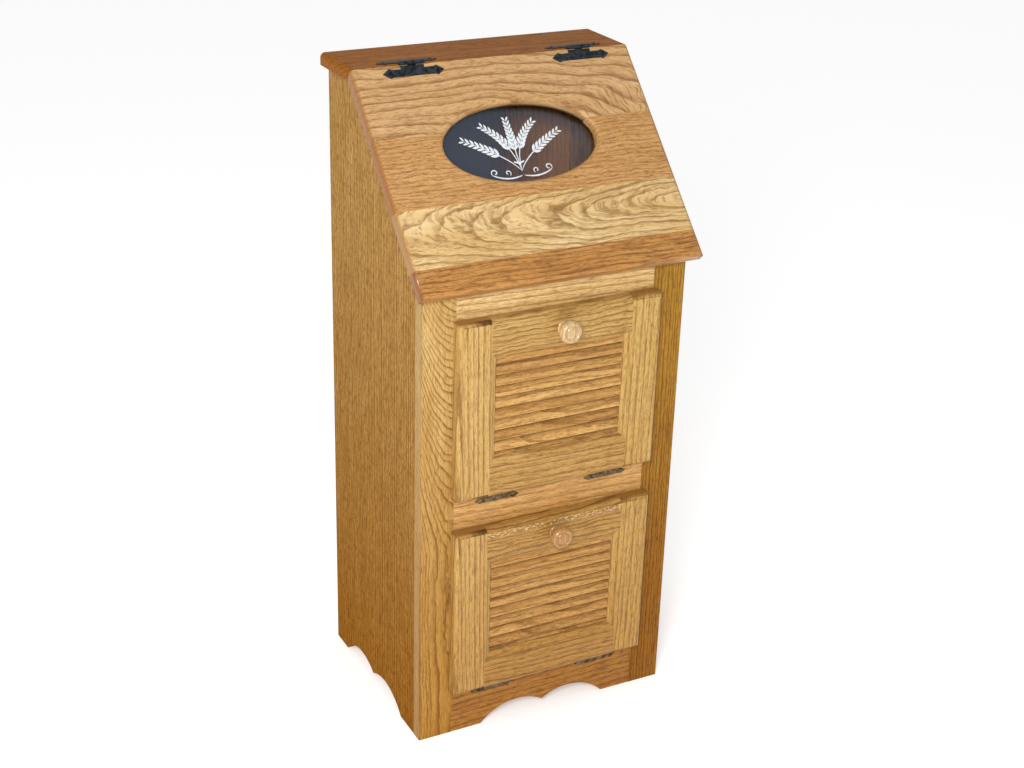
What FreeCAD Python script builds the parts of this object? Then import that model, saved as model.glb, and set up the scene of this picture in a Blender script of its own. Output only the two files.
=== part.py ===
import FreeCAD, Part
import os
from math import asin, cos, radians, sin, sqrt, tan

# Tilt-out vegetable bin cabinet in oak: a slant-lid bread box above two louvred doors,
# each carrying a bin that tips out on hinges along the door's bottom edge.
# +X is the cabinet's right, +Y its back, +Z up. Lengths are millimetres, angles degrees.
# Y is first counted from the front of the face frame; the last step moves every piece
# so that the origin is the middle of the base of the whole cabinet.

Vector = FreeCAD.Vector

# Case
CASE_WIDTH = 412.0
CASE_DEPTH = 317.0
CASE_HEIGHT = 960.0
BOARD = 19.0
BACK_PANEL = 6.0
SHELF = 12.0
STILE_WIDTH = 51.5
EDGE_EASE = 1.5

# Top board and slanted lid
LID_SLOPE = 46.0
LID_LENGTH = 342.0
LID_OVERHANG = 12.0
TOP_BOARD_DEPTH = 107.0
SEAM_HALF_GAP = 0.3
LID_REST_GAP = 0.4
TOP_ROUND = 7.0
UNDER_ROUND = 3.0
LID_BOARD_WIDTHS = (110.5, 106.0, 85.5, 40.0)

# Oval window in the lid
WINDOW_LENGTH = 236.0
WINDOW_HEIGHT = 120.0
WINDOW_CENTRE = 133.5
WINDOW_ROUND = 7.0
WINDOW_LEDGE = 8.0
REBATE_DEPTH = 6.0
PANE = 3.0
PANE_EDGE_GAP = 0.5
CLIP = (22.0, 10.0, 1.2)

# Scalloped foot line, cut alike in the bottom rail and in both sides
SCALLOP_HALF_SPAN = 104.5
SCALLOP_CUSP = 14.5
SCALLOP_CROWN = 27.3
SCALLOP_CROWN_AT = 48.0
SIDE_SCALLOP_CENTRE = 171.0

# Doors
DOOR_WIDTH = 318.0
DOOR_SPACING = 52.0
DOORS_TO_HEIGHT = 3
DOOR_MEMBER = 59.0
DOOR_STICKING = 10.0
STICKING_DEPTH = 6.8
DOOR_FIELD_INSET = 5.5
DOOR_STEP = 1.4
DOOR_GAP = 1.0
LOWER_DOOR_Z = 75.5
DOOR_OVERLAP = 12.0
BUMPER = (4.0, 0.7)
BUMPER_PLACE = (130.0, 6.0)

# Louvers
LOUVER_COUNT = 10
LOUVER_WIDTH = 21.5
LOUVER_THICKNESS = 4.6
LOUVER_TILT = 28.0
LOUVER_CROWN = 0.7
LOUVER_BACK_GAP = 0.8
LOUVER_SHOW_RATIO = 0.46

# Knobs
KNOB_RADIUS = 17.0
KNOB_LENGTH = 26.0
KNOB_SCREW_RADIUS = 2.0
KNOB_SCREW_DEPTH = 14.0
KNOB_SCREW_HEAD = (4.5, 2.0)

# Bins
BIN_SIDE_GAP = 4.5
BIN_SIDE = 12.0
BIN_FLOOR = 9.0
BIN_BACK = 9.0
BIN_UNDERSIDE = 18.0
BIN_CLEARANCE = 5.0
BIN_DEPTH_TO_RADIUS = 0.81
BIN_STOP_TO_RADIUS = 0.728
BIN_HEADROOM = 25.0

# Hinges. A leaf is a bar with spear ends on a neck that runs to the barrel.
# (bar length, bar width, neck width, distance from pin to bar, spear length, spear swell)
TOP_LEAF = (92.0, 11.5, 35.0, 11.0, 15.0, 1.8)
LID_LEAF = (92.0, 11.5, 35.0, 8.0, 15.0, 1.8)
LID_HINGE_AT = (-127.0, 135.0)
LID_LEAF_SCREW_AT = 35.0
FRAME_LEAF = (71.0, 7.0, 28.0, 7.2, 12.0, 0.8)
DOOR_HINGE_AT = (-87.0, 90.0)
FRAME_LEAF_SCREW_AT = 22.0
DOOR_LEAF = (56.0, 8.3)
DOOR_LEAF_SCREW_AT = 22.0
DOOR_LEAF_SCREW_REACH = 5.6
LEAF = 1.2
PIN_RADIUS = 1.25
PIN_CLEARANCE = 0.05
PIN_TIP = 1.6
PIN_TIP_ROUND = 0.9
BARREL_RADIUS = 2.7
BARREL_CLEARANCE = 0.3
KNUCKLE_GAP = 0.3

# Screws and nails: (head radius, head height, shank radius, length under head)
HINGE_SCREW = (2.6, 1.0, 1.1, 11.0)
SMALL_SCREW = (2.1, 0.8, 0.9, 8.0)
CLEAT_SCREW = (3.6, 1.4, 1.8, 30.0)
BACK_NAIL = (2.2, 0.5, 0.8, 16.0)
DRIVE_SLOT = (0.6, 0.5)

# How far a cutting shape reaches past the piece that it cuts
CUT_MARGIN = 1.0

# Shelf cleats
CLEAT = 19.0
CLEAT_FRONT = 34.0
CLEAT_BACK = 296.0
CLEAT_SCREW_AT = (60.0, 270.0)
NAIL_STEP = 110.0

# Places worked out from the dimensions above
half_case = CASE_WIDTH / 2
half_lid = half_case + LID_OVERHANG
inner_half = half_case - BOARD
opening_half = half_case - STILE_WIDTH
seam_y = CASE_DEPTH - TOP_BOARD_DEPTH
under_top = CASE_HEIGHT - BOARD
half_slope = radians(LID_SLOPE / 2)
door_back = -DOOR_GAP
door_front = door_back - BOARD
barrel_lift = BARREL_RADIUS + BARREL_CLEARANCE
pin_y = -barrel_lift
pin_drop = barrel_lift
total_depth = CASE_DEPTH - door_front + KNOB_LENGTH
shift_y = total_depth / 2 - CASE_DEPTH
window_half = (WINDOW_LENGTH / 2, WINDOW_HEIGHT / 2)
door_pitch = CASE_HEIGHT / DOORS_TO_HEIGHT
door_height = door_pitch - DOOR_SPACING
bin_radius = door_height - DOOR_OVERLAP + pin_drop - BIN_CLEARANCE
bin_depth = bin_radius * BIN_DEPTH_TO_RADIUS
bin_stop = bin_radius * BIN_STOP_TO_RADIUS
bin_ceiling = bin_radius + BIN_HEADROOM

nodes = {}


# ---- simple solids -------------------------------------------------------------------------

def box(x0, x1, y0, y1, z0, z1):
    return Part.makeBox(x1 - x0, y1 - y0, z1 - z0, Vector(x0, y0, z0))


def rod_x(x0, x1, y, z, radius):
    return Part.makeCylinder(radius, x1 - x0, Vector(x0, y, z), Vector(1, 0, 0))


def plate(points, travel):
    """A flat outline of points, pushed through the vector travel."""
    return Part.Face(Part.makePolygon(points + points[:1])).extrude(travel)


def profile_x(points, x0, x1):
    """An outline of (y, z) points, from x0 to x1."""
    return plate([Vector(x0, y, z) for y, z in points], Vector(x1 - x0, 0, 0))


def profile_y(points, y0, y1):
    """An outline of (x, z) points, from y0 to y1."""
    return plate([Vector(x, y0, z) for x, z in points], Vector(0, y1 - y0, 0))


def group(shapes):
    return Part.makeCompound(list(shapes))


def minus(shape, cutters):
    for cutter in cutters:
        shape = shape.cut(cutter)
    return shape


def edges_where(shape, test):
    """The straight edges whose middle point and direction pass the test."""
    chosen = []
    for edge in shape.Edges:
        if edge.Curve.TypeId == "Part::GeomLine":
            middle = edge.valueAt((edge.FirstParameter + edge.LastParameter) / 2)
            if test(middle, edge.tangentAt(edge.FirstParameter)):
                chosen.append(edge)
    return chosen


def near(a, b):
    return abs(a - b) < 0.01


def placed(shape, origin, x_axis, y_axis):
    """The shape moved from its own frame to the one with this origin and these axes."""
    z_axis = x_axis.cross(y_axis)
    rows = [(x_axis[i], y_axis[i], z_axis[i], origin[i]) for i in range(3)]
    matrix = FreeCAD.Matrix(*rows[0], *rows[1], *rows[2], 0, 0, 0, 1)
    moved = shape.copy()
    moved.Placement = FreeCAD.Placement(matrix).multiply(shape.Placement)
    return moved


def on_lid(shape):
    """From the lid's own frame: origin on the seam, +Y up the slope, +Z out of its face."""
    up_slope = Vector(0, cos(radians(LID_SLOPE)), sin(radians(LID_SLOPE)))
    return placed(shape, Vector(0, seam_y, CASE_HEIGHT), Vector(1, 0, 0), up_slope)


def turned(wire_edges):
    """A solid turned about Z from a closed outline in the XZ plane."""
    outline = Part.Face(Part.Wire(Part.__sortEdges__(wire_edges)))
    return outline.revolve(Vector(0, 0, 0), Vector(0, 0, 1), 360)


def dome(radius, rim_z, top_z):
    """An arc from the rim to the top of a shallow dome about Z, in the XZ plane."""
    rise = top_z - rim_z
    sphere = (radius ** 2 + rise ** 2) / (2 * rise)
    half_angle = asin(radius / sphere) / 2
    middle = Vector(sphere * sin(half_angle), 0, top_z - sphere * (1 - cos(half_angle)))
    return Part.Arc(Vector(radius, 0, rim_z), middle, Vector(0, 0, top_z)).toShape()


def screw(size, point, outward):
    """A round-headed screw: its head stands on the point, its shank runs inward."""
    head_radius, head_height, shank_radius, length = size
    start = Vector(0, 0, -length)
    foot = Vector(shank_radius, 0, -length)
    neck = Vector(shank_radius, 0, 0)
    rim = Vector(head_radius, 0, 0)
    crown = Vector(0, 0, head_height)
    lines = [(start, foot), (foot, neck), (neck, rim), (crown, start)]
    edges = [Part.makeLine(a, b) for a, b in lines] + [dome(head_radius, 0, head_height)]
    solid = turned(edges)
    width, depth = DRIVE_SLOT
    reach = head_radius * 0.6
    low = head_height - depth
    for dx, dy in ((reach, width / 2), (width / 2, reach)):
        solid = solid.cut(box(-dx, dx, -dy, dy, low, head_height))
    side = Vector(1, 0, 0) if abs(outward.x) < 0.5 else Vector(0, 1, 0)
    return placed(solid, point, side, outward.cross(side))


# ---- case ----------------------------------------------------------------------------------

def slope_z(y):
    """Height of the line that the lid's underside lies on, less its resting gap."""
    slope = radians(LID_SLOPE)
    drop = (BOARD + LID_REST_GAP) / cos(slope)
    return CASE_HEIGHT - drop - (seam_y - y) * tan(slope)


def slope_y(z):
    return seam_y - (slope_z(seam_y) - z) / tan(radians(LID_SLOPE))


def scallop(centre, across, through):
    """The double arch cut out of the foot line, along the vector across."""
    def at(s, z):
        return centre + across * s + Vector(0, 0, z)
    arches = []
    for side in (-1, 1):
        foot = at(side * SCALLOP_HALF_SPAN, 0)
        crown = at(side * SCALLOP_CROWN_AT, SCALLOP_CROWN)
        arches.append(Part.Arc(foot, crown, at(0, SCALLOP_CUSP)).toShape())
    left, right = (at(s * SCALLOP_HALF_SPAN, 0) for s in (-1, 1))
    below = Vector(0, 0, -BOARD)
    lines = [(left, left + below), (left + below, right + below), (right + below, right)]
    edges = arches + [Part.makeLine(a, b) for a, b in lines]
    return Part.Face(Part.Wire(Part.__sortEdges__(edges))).extrude(through)


def side_panel(x_outer, x_inner):
    outline = [(BOARD, 0), (CASE_DEPTH, 0), (CASE_DEPTH, under_top),
               (slope_y(under_top), under_top), (BOARD, slope_z(BOARD))]
    x0, x1 = sorted((x_outer, x_inner))
    arch = scallop(Vector(x0, SIDE_SCALLOP_CENTRE, 0), Vector(0, 1, 0), Vector(x1 - x0, 0, 0))
    return profile_x(outline, x0, x1).cut(arch)


def face_stile(x_outer, x_inner):
    x0, x1 = sorted((x_outer, x_inner))
    outline = [(0, 0), (BOARD, 0), (BOARD, slope_z(BOARD)), (0, slope_z(0))]
    stile = profile_x(outline, x0, x1)
    corner = edges_where(stile, lambda m, d: near(m.x, x_outer) and near(m.y, 0) and abs(d.z) > 0.9)
    return stile.makeFillet(EDGE_EASE, corner)


def frame_opening(door_z):
    """Bottom and top of the face frame's opening behind the door at this height."""
    return door_z + DOOR_OVERLAP, door_z + door_height - DOOR_OVERLAP


def top_board():
    lean = BOARD * tan(half_slope)
    gap = SEAM_HALF_GAP / cos(half_slope)
    outline = [(seam_y + gap, CASE_HEIGHT), (CASE_DEPTH, CASE_HEIGHT),
               (CASE_DEPTH, under_top), (seam_y + gap + lean, under_top)]
    board = profile_x(outline, -half_lid, half_lid)
    ends = edges_where(board, lambda m, d: near(abs(m.x), half_lid) and near(m.z, CASE_HEIGHT))
    board = board.makeFillet(TOP_ROUND, ends)
    ends = edges_where(board, lambda m, d: near(abs(m.x), half_lid) and near(m.z, under_top))
    return board.makeFillet(UNDER_ROUND, ends)


def shelf(z0):
    return box(-inner_half, inner_half, BOARD, CASE_DEPTH - BACK_PANEL, z0, z0 + SHELF)


def cleat_pair(shelf_z):
    z0 = shelf_z - CLEAT
    left = box(-inner_half, -inner_half + CLEAT, CLEAT_FRONT, CLEAT_BACK, z0, shelf_z)
    right = box(inner_half - CLEAT, inner_half, CLEAT_FRONT, CLEAT_BACK, z0, shelf_z)
    return [left, right]


def cleat_screws(shelf_z):
    screws = []
    for side in (-1, 1):
        for y in CLEAT_SCREW_AT:
            face = Vector(side * (inner_half - CLEAT), y, shelf_z - CLEAT / 2)
            screws.append(screw(CLEAT_SCREW, face, Vector(-side, 0, 0)))
    return screws


def build_case():
    lower_opening = frame_opening(LOWER_DOOR_Z)
    upper_opening = frame_opening(LOWER_DOOR_Z + door_pitch)
    pins = [door_z - pin_drop for door_z in (LOWER_DOOR_Z, LOWER_DOOR_Z + door_pitch)]
    shelves = {"bottom_shelf": pins[0] + BIN_UNDERSIDE - BIN_CLEARANCE - SHELF,
               "middle_shelf": pins[0] + bin_ceiling,
               "bread_floor": pins[1] + bin_ceiling}
    cleats, screws = [], []
    for name, z in shelves.items():
        nodes[name] = shelf(z)
        cleats += cleat_pair(z)
        screws += cleat_screws(z)
    nodes["shelf_cleats"] = group(minus(cleat, screws) for cleat in cleats)
    nodes["cleat_screws"] = group(screws)
    nodes["left_side"] = minus(side_panel(-half_case, -inner_half), screws)
    nodes["right_side"] = minus(side_panel(half_case, inner_half), screws)

    nodes["face_left_stile"] = face_stile(-half_case, -opening_half)
    nodes["face_right_stile"] = face_stile(half_case, opening_half)
    rail = [(0, upper_opening[1]), (BOARD, upper_opening[1]), (BOARD, slope_z(BOARD)),
            (0, slope_z(0))]
    nodes["face_top_rail"] = profile_x(rail, -opening_half, opening_half)
    nodes["face_middle_rail"] = box(-opening_half, opening_half, 0, BOARD,
                                    lower_opening[1], upper_opening[0])
    skirt = box(-opening_half, opening_half, 0, BOARD, 0, lower_opening[0])
    nodes["face_bottom_rail"] = skirt.cut(scallop(Vector(0, 0, 0), Vector(1, 0, 0),
                                                  Vector(0, BOARD, 0)))
    nodes["top_board"] = top_board()
    build_back(shelves["bottom_shelf"])


def build_back(bottom_z):
    panel = box(-inner_half, inner_half, CASE_DEPTH - BACK_PANEL, CASE_DEPTH, bottom_z, under_top)
    nails = []
    rows = [bottom_z + SHELF / 2, nodes["middle_shelf"].BoundBox.Center.z,
            nodes["bread_floor"].BoundBox.Center.z]
    for z in rows:
        count = int(2 * inner_half / NAIL_STEP)
        for i in range(count + 1):
            x = -inner_half + NAIL_STEP / 2 + i * (2 * inner_half - NAIL_STEP) / count
            nails.append(screw(BACK_NAIL, Vector(x, CASE_DEPTH, z), Vector(0, 1, 0)))
    sunk = [nail.translated(Vector(0, -BACK_NAIL[1], 0)) for nail in nails]
    nodes["back_nails"] = group(sunk)
    nodes["back_panel"] = minus(panel, sunk)
    for name in ("bottom_shelf", "middle_shelf", "bread_floor"):
        nodes[name] = minus(nodes[name], sunk)


# ---- lid -----------------------------------------------------------------------------------

def oval(half_length, half_height, z0, z1):
    centre = Vector(0, -WINDOW_CENTRE, z0)
    rim = Part.Ellipse(centre, half_length, half_height).toShape()
    return Part.Face(Part.Wire(rim)).extrude(Vector(0, 0, z1 - z0))


def lid_blank():
    lean = BOARD * tan(half_slope)
    gap = SEAM_HALF_GAP / cos(half_slope)
    outline = [(-gap, 0), (-LID_LENGTH, 0), (-LID_LENGTH, -BOARD), (-gap - lean, -BOARD)]
    blank = profile_x(outline, -half_lid, half_lid)

    def outer(level):
        def test(m, d):
            return near(m.z, level) and (near(abs(m.x), half_lid) or near(m.y, -LID_LENGTH))
        return test
    blank = blank.makeFillet(TOP_ROUND, edges_where(blank, outer(0)))
    blank = blank.makeFillet(UNDER_ROUND, edges_where(blank, outer(-BOARD)))
    blank = blank.cut(oval(*window_half, -BOARD, 0))
    rim = [e for e in blank.Edges if e.Curve.TypeId == "Part::GeomEllipse"
           and near(e.BoundBox.ZMax, 0) and near(e.BoundBox.ZMin, 0)]
    blank = blank.makeFillet(WINDOW_ROUND, rim)
    rebate = [half + WINDOW_LEDGE for half in window_half]
    return blank.cut(oval(*rebate, -BOARD, -BOARD + REBATE_DEPTH))


def clip_at(side_x, side_y):
    """A clip on the lid's underside that reaches over the pane, with its screw."""
    length, width, thickness = CLIP
    reach = cos(radians(45))
    edge = Vector(side_x * (window_half[0] + WINDOW_LEDGE) * reach,
                  side_y * (window_half[1] + WINDOW_LEDGE) * reach - WINDOW_CENTRE, -BOARD)
    outward = Vector(side_x, side_y, 0).normalize()
    middle = edge + outward * (length / 2 - WINDOW_LEDGE)
    body = box(-length / 2, length / 2, -width / 2, width / 2, -thickness, 0)
    clip = placed(body, middle, outward, Vector(-outward.y, outward.x, 0))
    hold = edge + outward * (length / 2 - WINDOW_LEDGE / 2) - Vector(0, 0, thickness)
    return clip, screw(SMALL_SCREW, hold, Vector(0, 0, -1))


def build_lid(hinge_screws):
    clips, clip_screws = zip(*[clip_at(sx, sy) for sx in (-1, 1) for sy in (-1, 1)])
    blank = lid_blank()
    start = 0.0
    names = ("lid_upper_board", "lid_middle_board", "lid_lower_board", "lid_front_strip")
    for name, width in zip(names, LID_BOARD_WIDTHS):
        top = BOARD if start == 0.0 else -start
        band = box(-half_lid, half_lid, -start - width, top, -BOARD, 0)
        board = minus(blank.common(band), clip_screws)
        nodes[name] = minus(on_lid(board), hinge_screws) if start == 0.0 else on_lid(board)
        start += width
    pane_half = [half + WINDOW_LEDGE - PANE_EDGE_GAP for half in window_half]
    seat = REBATE_DEPTH - BOARD
    nodes["lid_window"] = on_lid(oval(*pane_half, seat - PANE, seat))
    pads = [pane_pad(clip) for clip in clips]
    nodes["window_clips"] = group(on_lid(minus(clip.fuse(pad), clip_screws))
                                  for clip, pad in zip(clips, pads))
    nodes["window_clip_screws"] = group(on_lid(s) for s in clip_screws)


def pane_pad(clip):
    """The turned-up end of a clip that presses on the pane, inside the rebate."""
    edge_half = [half + WINDOW_LEDGE - 2 * PANE_EDGE_GAP for half in window_half]
    foot = clip.BoundBox
    raised = box(foot.XMin, foot.XMax, foot.YMin, foot.YMax, -BOARD, REBATE_DEPTH - BOARD - PANE)
    lifted = clip.translated(Vector(0, 0, foot.ZLength)).common(raised)
    tall = lifted.fuse(lifted.translated(Vector(0, 0, foot.ZLength)))
    tall = tall.fuse(lifted.translated(Vector(0, 0, REBATE_DEPTH - PANE - foot.ZLength)))
    return tall.removeSplitter().common(oval(*edge_half, -BOARD, REBATE_DEPTH - BOARD - PANE))


# ---- hinges --------------------------------------------------------------------------------
# Each leaf is drawn in its own frame: X along the pin, Y away from the pin along the wood,
# Z out of the wood. The wood's surface is Z = 0 and the pin lies at Y = 0, Z = barrel_lift.

def spear_leaf(size):
    length, width, neck, reach, spear, swell = size
    end = length / 2
    low, high, middle = reach, reach + width, reach + width / 2
    right = [(end - spear, low), (end - spear * 0.7, low - swell), (end, middle),
             (end - spear * 0.7, high + swell), (end - spear, high)]
    left = [(-x, y) for x, y in reversed(right)]
    root = LEAF / 2
    outline = [(neck / 2, root), (neck / 2, low)] + right
    outline += left + [(-neck / 2, low), (-neck / 2, root)]
    return plate([Vector(x, y, 0) for x, y in outline], Vector(0, 0, LEAF))


def knuckled(leaf, neck, outer):
    """The leaf with its knuckles: the outer two if outer, or else the middle one."""
    third = neck / 3
    middle = (-third / 2, third / 2)
    outers = [(-neck / 2, middle[0]), (middle[1], neck / 2)]
    own, other = (outers, [middle]) if outer else ([middle], outers)
    cut_reach = BARREL_RADIUS + 2 * BARREL_CLEARANCE
    bore = PIN_RADIUS + (0 if outer else PIN_CLEARANCE)
    for x0, x1 in own:
        leaf = leaf.fuse(rod_x(x0, x1, 0, barrel_lift, BARREL_RADIUS))
    for x0, x1 in other:
        x0 -= KNUCKLE_GAP / 2 + (KNUCKLE_GAP if near(x0, -neck / 2) else 0)
        x1 += KNUCKLE_GAP / 2 + (KNUCKLE_GAP if near(x1, neck / 2) else 0)
        leaf = leaf.cut(box(x0, x1, -cut_reach, cut_reach, 0, 2 * cut_reach))
    for x0, x1 in own:
        if not outer:
            trim = BARREL_RADIUS * 2
            ends = ((x0 - CUT_MARGIN, x0 + KNUCKLE_GAP / 2), (x1 - KNUCKLE_GAP / 2, x1 + CUT_MARGIN))
            for a, b in ends:
                leaf = leaf.cut(box(a, b, -trim, cut_reach, 0, 2 * trim))
    return leaf.cut(rod_x(-neck, neck, 0, barrel_lift, bore)).removeSplitter()


def hinge_pin(neck):
    half = neck / 2
    pin = rod_x(-half, half, 0, barrel_lift, PIN_RADIUS)
    for end, x in ((-half - PIN_TIP, -half), (half + PIN_TIP, half)):
        tip = rod_x(min(end, x), max(end, x), 0, barrel_lift, BARREL_RADIUS)
        rim = [e for e in tip.Edges if near(e.BoundBox.XMin, end) and near(e.BoundBox.XMax, end)]
        pin = pin.fuse(tip.makeFillet(PIN_TIP_ROUND, rim))
    return pin


def leaf_screws(size, offset, kind):
    middle = size[3] + size[1] / 2
    return [screw(kind, Vector(x, middle, LEAF), Vector(0, 0, 1)) for x in (-offset, offset)]


def build_lid_hinges():
    """Both lid hinges. Returns the screws that go into the top board and into the lid."""
    neck = LID_LEAF[2]
    foot = barrel_lift * tan(half_slope)
    back = Vector(0, 1, 0)
    down = Vector(0, -cos(radians(LID_SLOPE)), -sin(radians(LID_SLOPE)))
    on_top = Vector(0, seam_y - foot, CASE_HEIGHT)
    on_slope = Vector(0, seam_y, CASE_HEIGHT) - down * foot
    sides = {"top": (TOP_LEAF, True, on_top, Vector(1, 0, 0), back),
             "lid": (LID_LEAF, False, on_slope, Vector(-1, 0, 0), down)}
    screws = {}
    for side, (size, outer, origin, x_axis, y_axis) in sides.items():
        leaf = knuckled(spear_leaf(size), neck, outer)
        drivers = leaf_screws(size, LID_LEAF_SCREW_AT, HINGE_SCREW)
        leaves, screws[side] = [], []
        for x in LID_HINGE_AT:
            at = origin + Vector(x, 0, 0)
            own = [placed(s, at, x_axis, y_axis) for s in drivers]
            leaves.append(minus(placed(leaf, at, x_axis, y_axis), own))
            screws[side] += own
        nodes["lid_hinge_%s_leaves" % side] = group(leaves)
        nodes["lid_hinge_%s_screws" % side] = group(screws[side])
    nodes["lid_hinge_pins"] = group(placed(hinge_pin(neck), on_top + Vector(x, 0, 0),
                                           Vector(1, 0, 0), back) for x in LID_HINGE_AT)
    nodes["top_board"] = minus(nodes["top_board"], screws["top"])
    return screws["lid"]


def door_leaf():
    length, depth = DOOR_LEAF
    neck = FRAME_LEAF[2]
    outline = [(-neck / 2, 0), (neck / 2, 0), (neck / 2, BARREL_RADIUS + BARREL_CLEARANCE),
               (length / 2, BARREL_RADIUS + BARREL_CLEARANCE), (length / 2, depth),
               (-length / 2, depth), (-length / 2, BARREL_RADIUS + BARREL_CLEARANCE),
               (-neck / 2, BARREL_RADIUS + BARREL_CLEARANCE)]
    flat = plate([Vector(x, y, 0) for x, y in outline], Vector(0, 0, LEAF))
    return knuckled(flat, neck, False)


def build_door_hinges(door_heights):
    """Hinges of every door. Returns, for each door, the screws that go into it."""
    frame_leaves, pins, frame_screws, into_doors = [], [], [], []
    frame = knuckled(spear_leaf(FRAME_LEAF), FRAME_LEAF[2], True)
    frame_drivers = leaf_screws(FRAME_LEAF, FRAME_LEAF_SCREW_AT, SMALL_SCREW)
    for prefix, door_z in door_heights.items():
        pin_z = door_z - pin_drop
        leaves, screws = [], []
        for x in DOOR_HINGE_AT:
            on_frame = (Vector(x, 0, pin_z), Vector(-1, 0, 0), Vector(0, 0, -1))
            own = [placed(s, *on_frame) for s in frame_drivers]
            frame_leaves.append(minus(placed(frame, *on_frame), own))
            frame_screws += own
            pins.append(placed(hinge_pin(FRAME_LEAF[2]), *on_frame))
            up = [screw(SMALL_SCREW, Vector(x + dx, pin_y - DOOR_LEAF_SCREW_REACH, door_z - LEAF),
                        Vector(0, 0, -1)) for dx in (-DOOR_LEAF_SCREW_AT, DOOR_LEAF_SCREW_AT)]
            under_door = (Vector(x, pin_y, door_z), Vector(1, 0, 0), Vector(0, -1, 0))
            leaves.append(minus(placed(door_leaf(), *under_door), up))
            screws += up
        nodes[prefix + "_hinge_door_leaves"] = group(leaves)
        nodes[prefix + "_hinge_door_screws"] = group(screws)
        into_doors.append(screws)
    nodes["door_hinge_frame_leaves"] = group(frame_leaves)
    nodes["door_hinge_pins"] = group(pins)
    nodes["door_hinge_frame_screws"] = group(frame_screws)
    for rail in ("face_middle_rail", "face_bottom_rail"):
        nodes[rail] = minus(nodes[rail], frame_screws)
    return into_doors


# ---- doors and bins ------------------------------------------------------------------------

def door_blank(door_z):
    """The whole door frame: moulded outside edge, moulded inside edge, open middle."""
    half = DOOR_WIDTH / 2
    inset = DOOR_FIELD_INSET
    top = door_z + door_height
    shoulder = box(-half, half, door_front + DOOR_STEP, door_back, door_z, top)
    rims = edges_where(shoulder, lambda m, d: near(m.y, door_front + DOOR_STEP))
    shoulder = shoulder.makeFillet(inset - 0.2, rims)
    field = box(-half + inset, half - inset, door_front, door_back, door_z + inset, top - inset)
    x_open, z0, z1 = door_opening(door_z)
    through = box(-x_open, x_open, door_front, door_back, z0, z1)
    s = DOOR_STICKING
    splay = Part.makeWedge(-x_open - s, door_front, z0 - s, z0, -x_open,
                           x_open + s, door_front + STICKING_DEPTH, z1 + s, z1, x_open)
    return shoulder.fuse(field).removeSplitter().cut(through).cut(splay)


def door_opening(door_z):
    return (DOOR_WIDTH / 2 - DOOR_MEMBER, door_z + DOOR_MEMBER, door_z + door_height - DOOR_MEMBER)


def door_stile_zone(door_z, side):
    """Outline that parts a stile from the rails: square joints, mitred inner moulding."""
    x_open, z0, z1 = door_opening(door_z)
    s = DOOR_STICKING
    low, high = door_z - CUT_MARGIN, door_z + door_height + CUT_MARGIN
    out = DOOR_WIDTH / 2 + CUT_MARGIN
    outline = [(out, low), (x_open + s, low), (x_open + s, z0 - s), (x_open, z0),
               (x_open, z1), (x_open + s, z1 + s), (x_open + s, high), (out, high)]
    turned_out = [(side * x, z) for x, z in outline]
    return profile_y(turned_out, door_front - CUT_MARGIN, door_back + CUT_MARGIN)


def louver(z):
    """One slat: crowned face, eased edges, its lower edge leaning out.

    The lowest and the highest slat run on behind the rails, where they are cut off.
    """
    half = LOUVER_WIDTH / 2
    back = LOUVER_THICKNESS / 2
    face = Part.Arc(Vector(0, -back, half - back), Vector(0, -back - LOUVER_CROWN, 0),
                    Vector(0, -back, back - half)).toShape()
    nose = Part.Arc(Vector(0, -back, back - half), Vector(0, 0, -half),
                    Vector(0, back, back - half)).toShape()
    crest = Part.Arc(Vector(0, back, half - back), Vector(0, 0, half),
                     Vector(0, -back, half - back)).toShape()
    rear = Part.makeLine(Vector(0, back, back - half), Vector(0, back, half - back))
    x_open = DOOR_WIDTH / 2 - DOOR_MEMBER
    section = Part.Face(Part.Wire(Part.__sortEdges__([face, nose, rear, crest])))
    slat = section.extrude(Vector(2 * x_open, 0, 0))
    slat.rotate(Vector(0, 0, 0), Vector(1, 0, 0), -LOUVER_TILT)
    y = door_back - LOUVER_BACK_GAP - slat.BoundBox.YMax
    return slat.translated(Vector(-x_open, y, z))


def knob():
    """A turned knob, standing on Z = 0: flared foot, waist, round body, dished face."""
    r, top = KNOB_RADIUS, KNOB_LENGTH
    waist_at, widest_at, rim_at = top * 0.26, top * 0.68, top * 0.96

    def p(x, z):
        return Vector(x, 0, z)
    arcs = [(p(r * 0.56, 0), p(r * 0.46, waist_at * 0.5), p(r * 0.44, waist_at)),
            (p(r * 0.44, waist_at), p(r * 0.78, top * 0.43), p(r, widest_at)),
            (p(r, widest_at), p(r * 0.95, top * 0.88), p(r * 0.76, rim_at)),
            (p(r * 0.76, rim_at), p(r * 0.66, top * 0.955), p(r * 0.58, top * 0.92)),
            (p(r * 0.58, top * 0.92), p(r * 0.5, top * 0.935), p(r * 0.45, top * 0.965))]
    edges = [Part.Arc(*arc).toShape() for arc in arcs] + [dome(r * 0.45, top * 0.965, top)]
    edges += [Part.makeLine(p(0, top), p(0, 0)), Part.makeLine(p(0, 0), p(r * 0.56, 0))]
    return turned(edges)


def knob_screw(at_z):
    head_radius, head_height = KNOB_SCREW_HEAD
    reach = BOARD + KNOB_SCREW_DEPTH
    size = (head_radius, head_height, KNOB_SCREW_RADIUS, reach)
    return screw(size, Vector(0, door_back, at_z), Vector(0, 1, 0))


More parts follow.
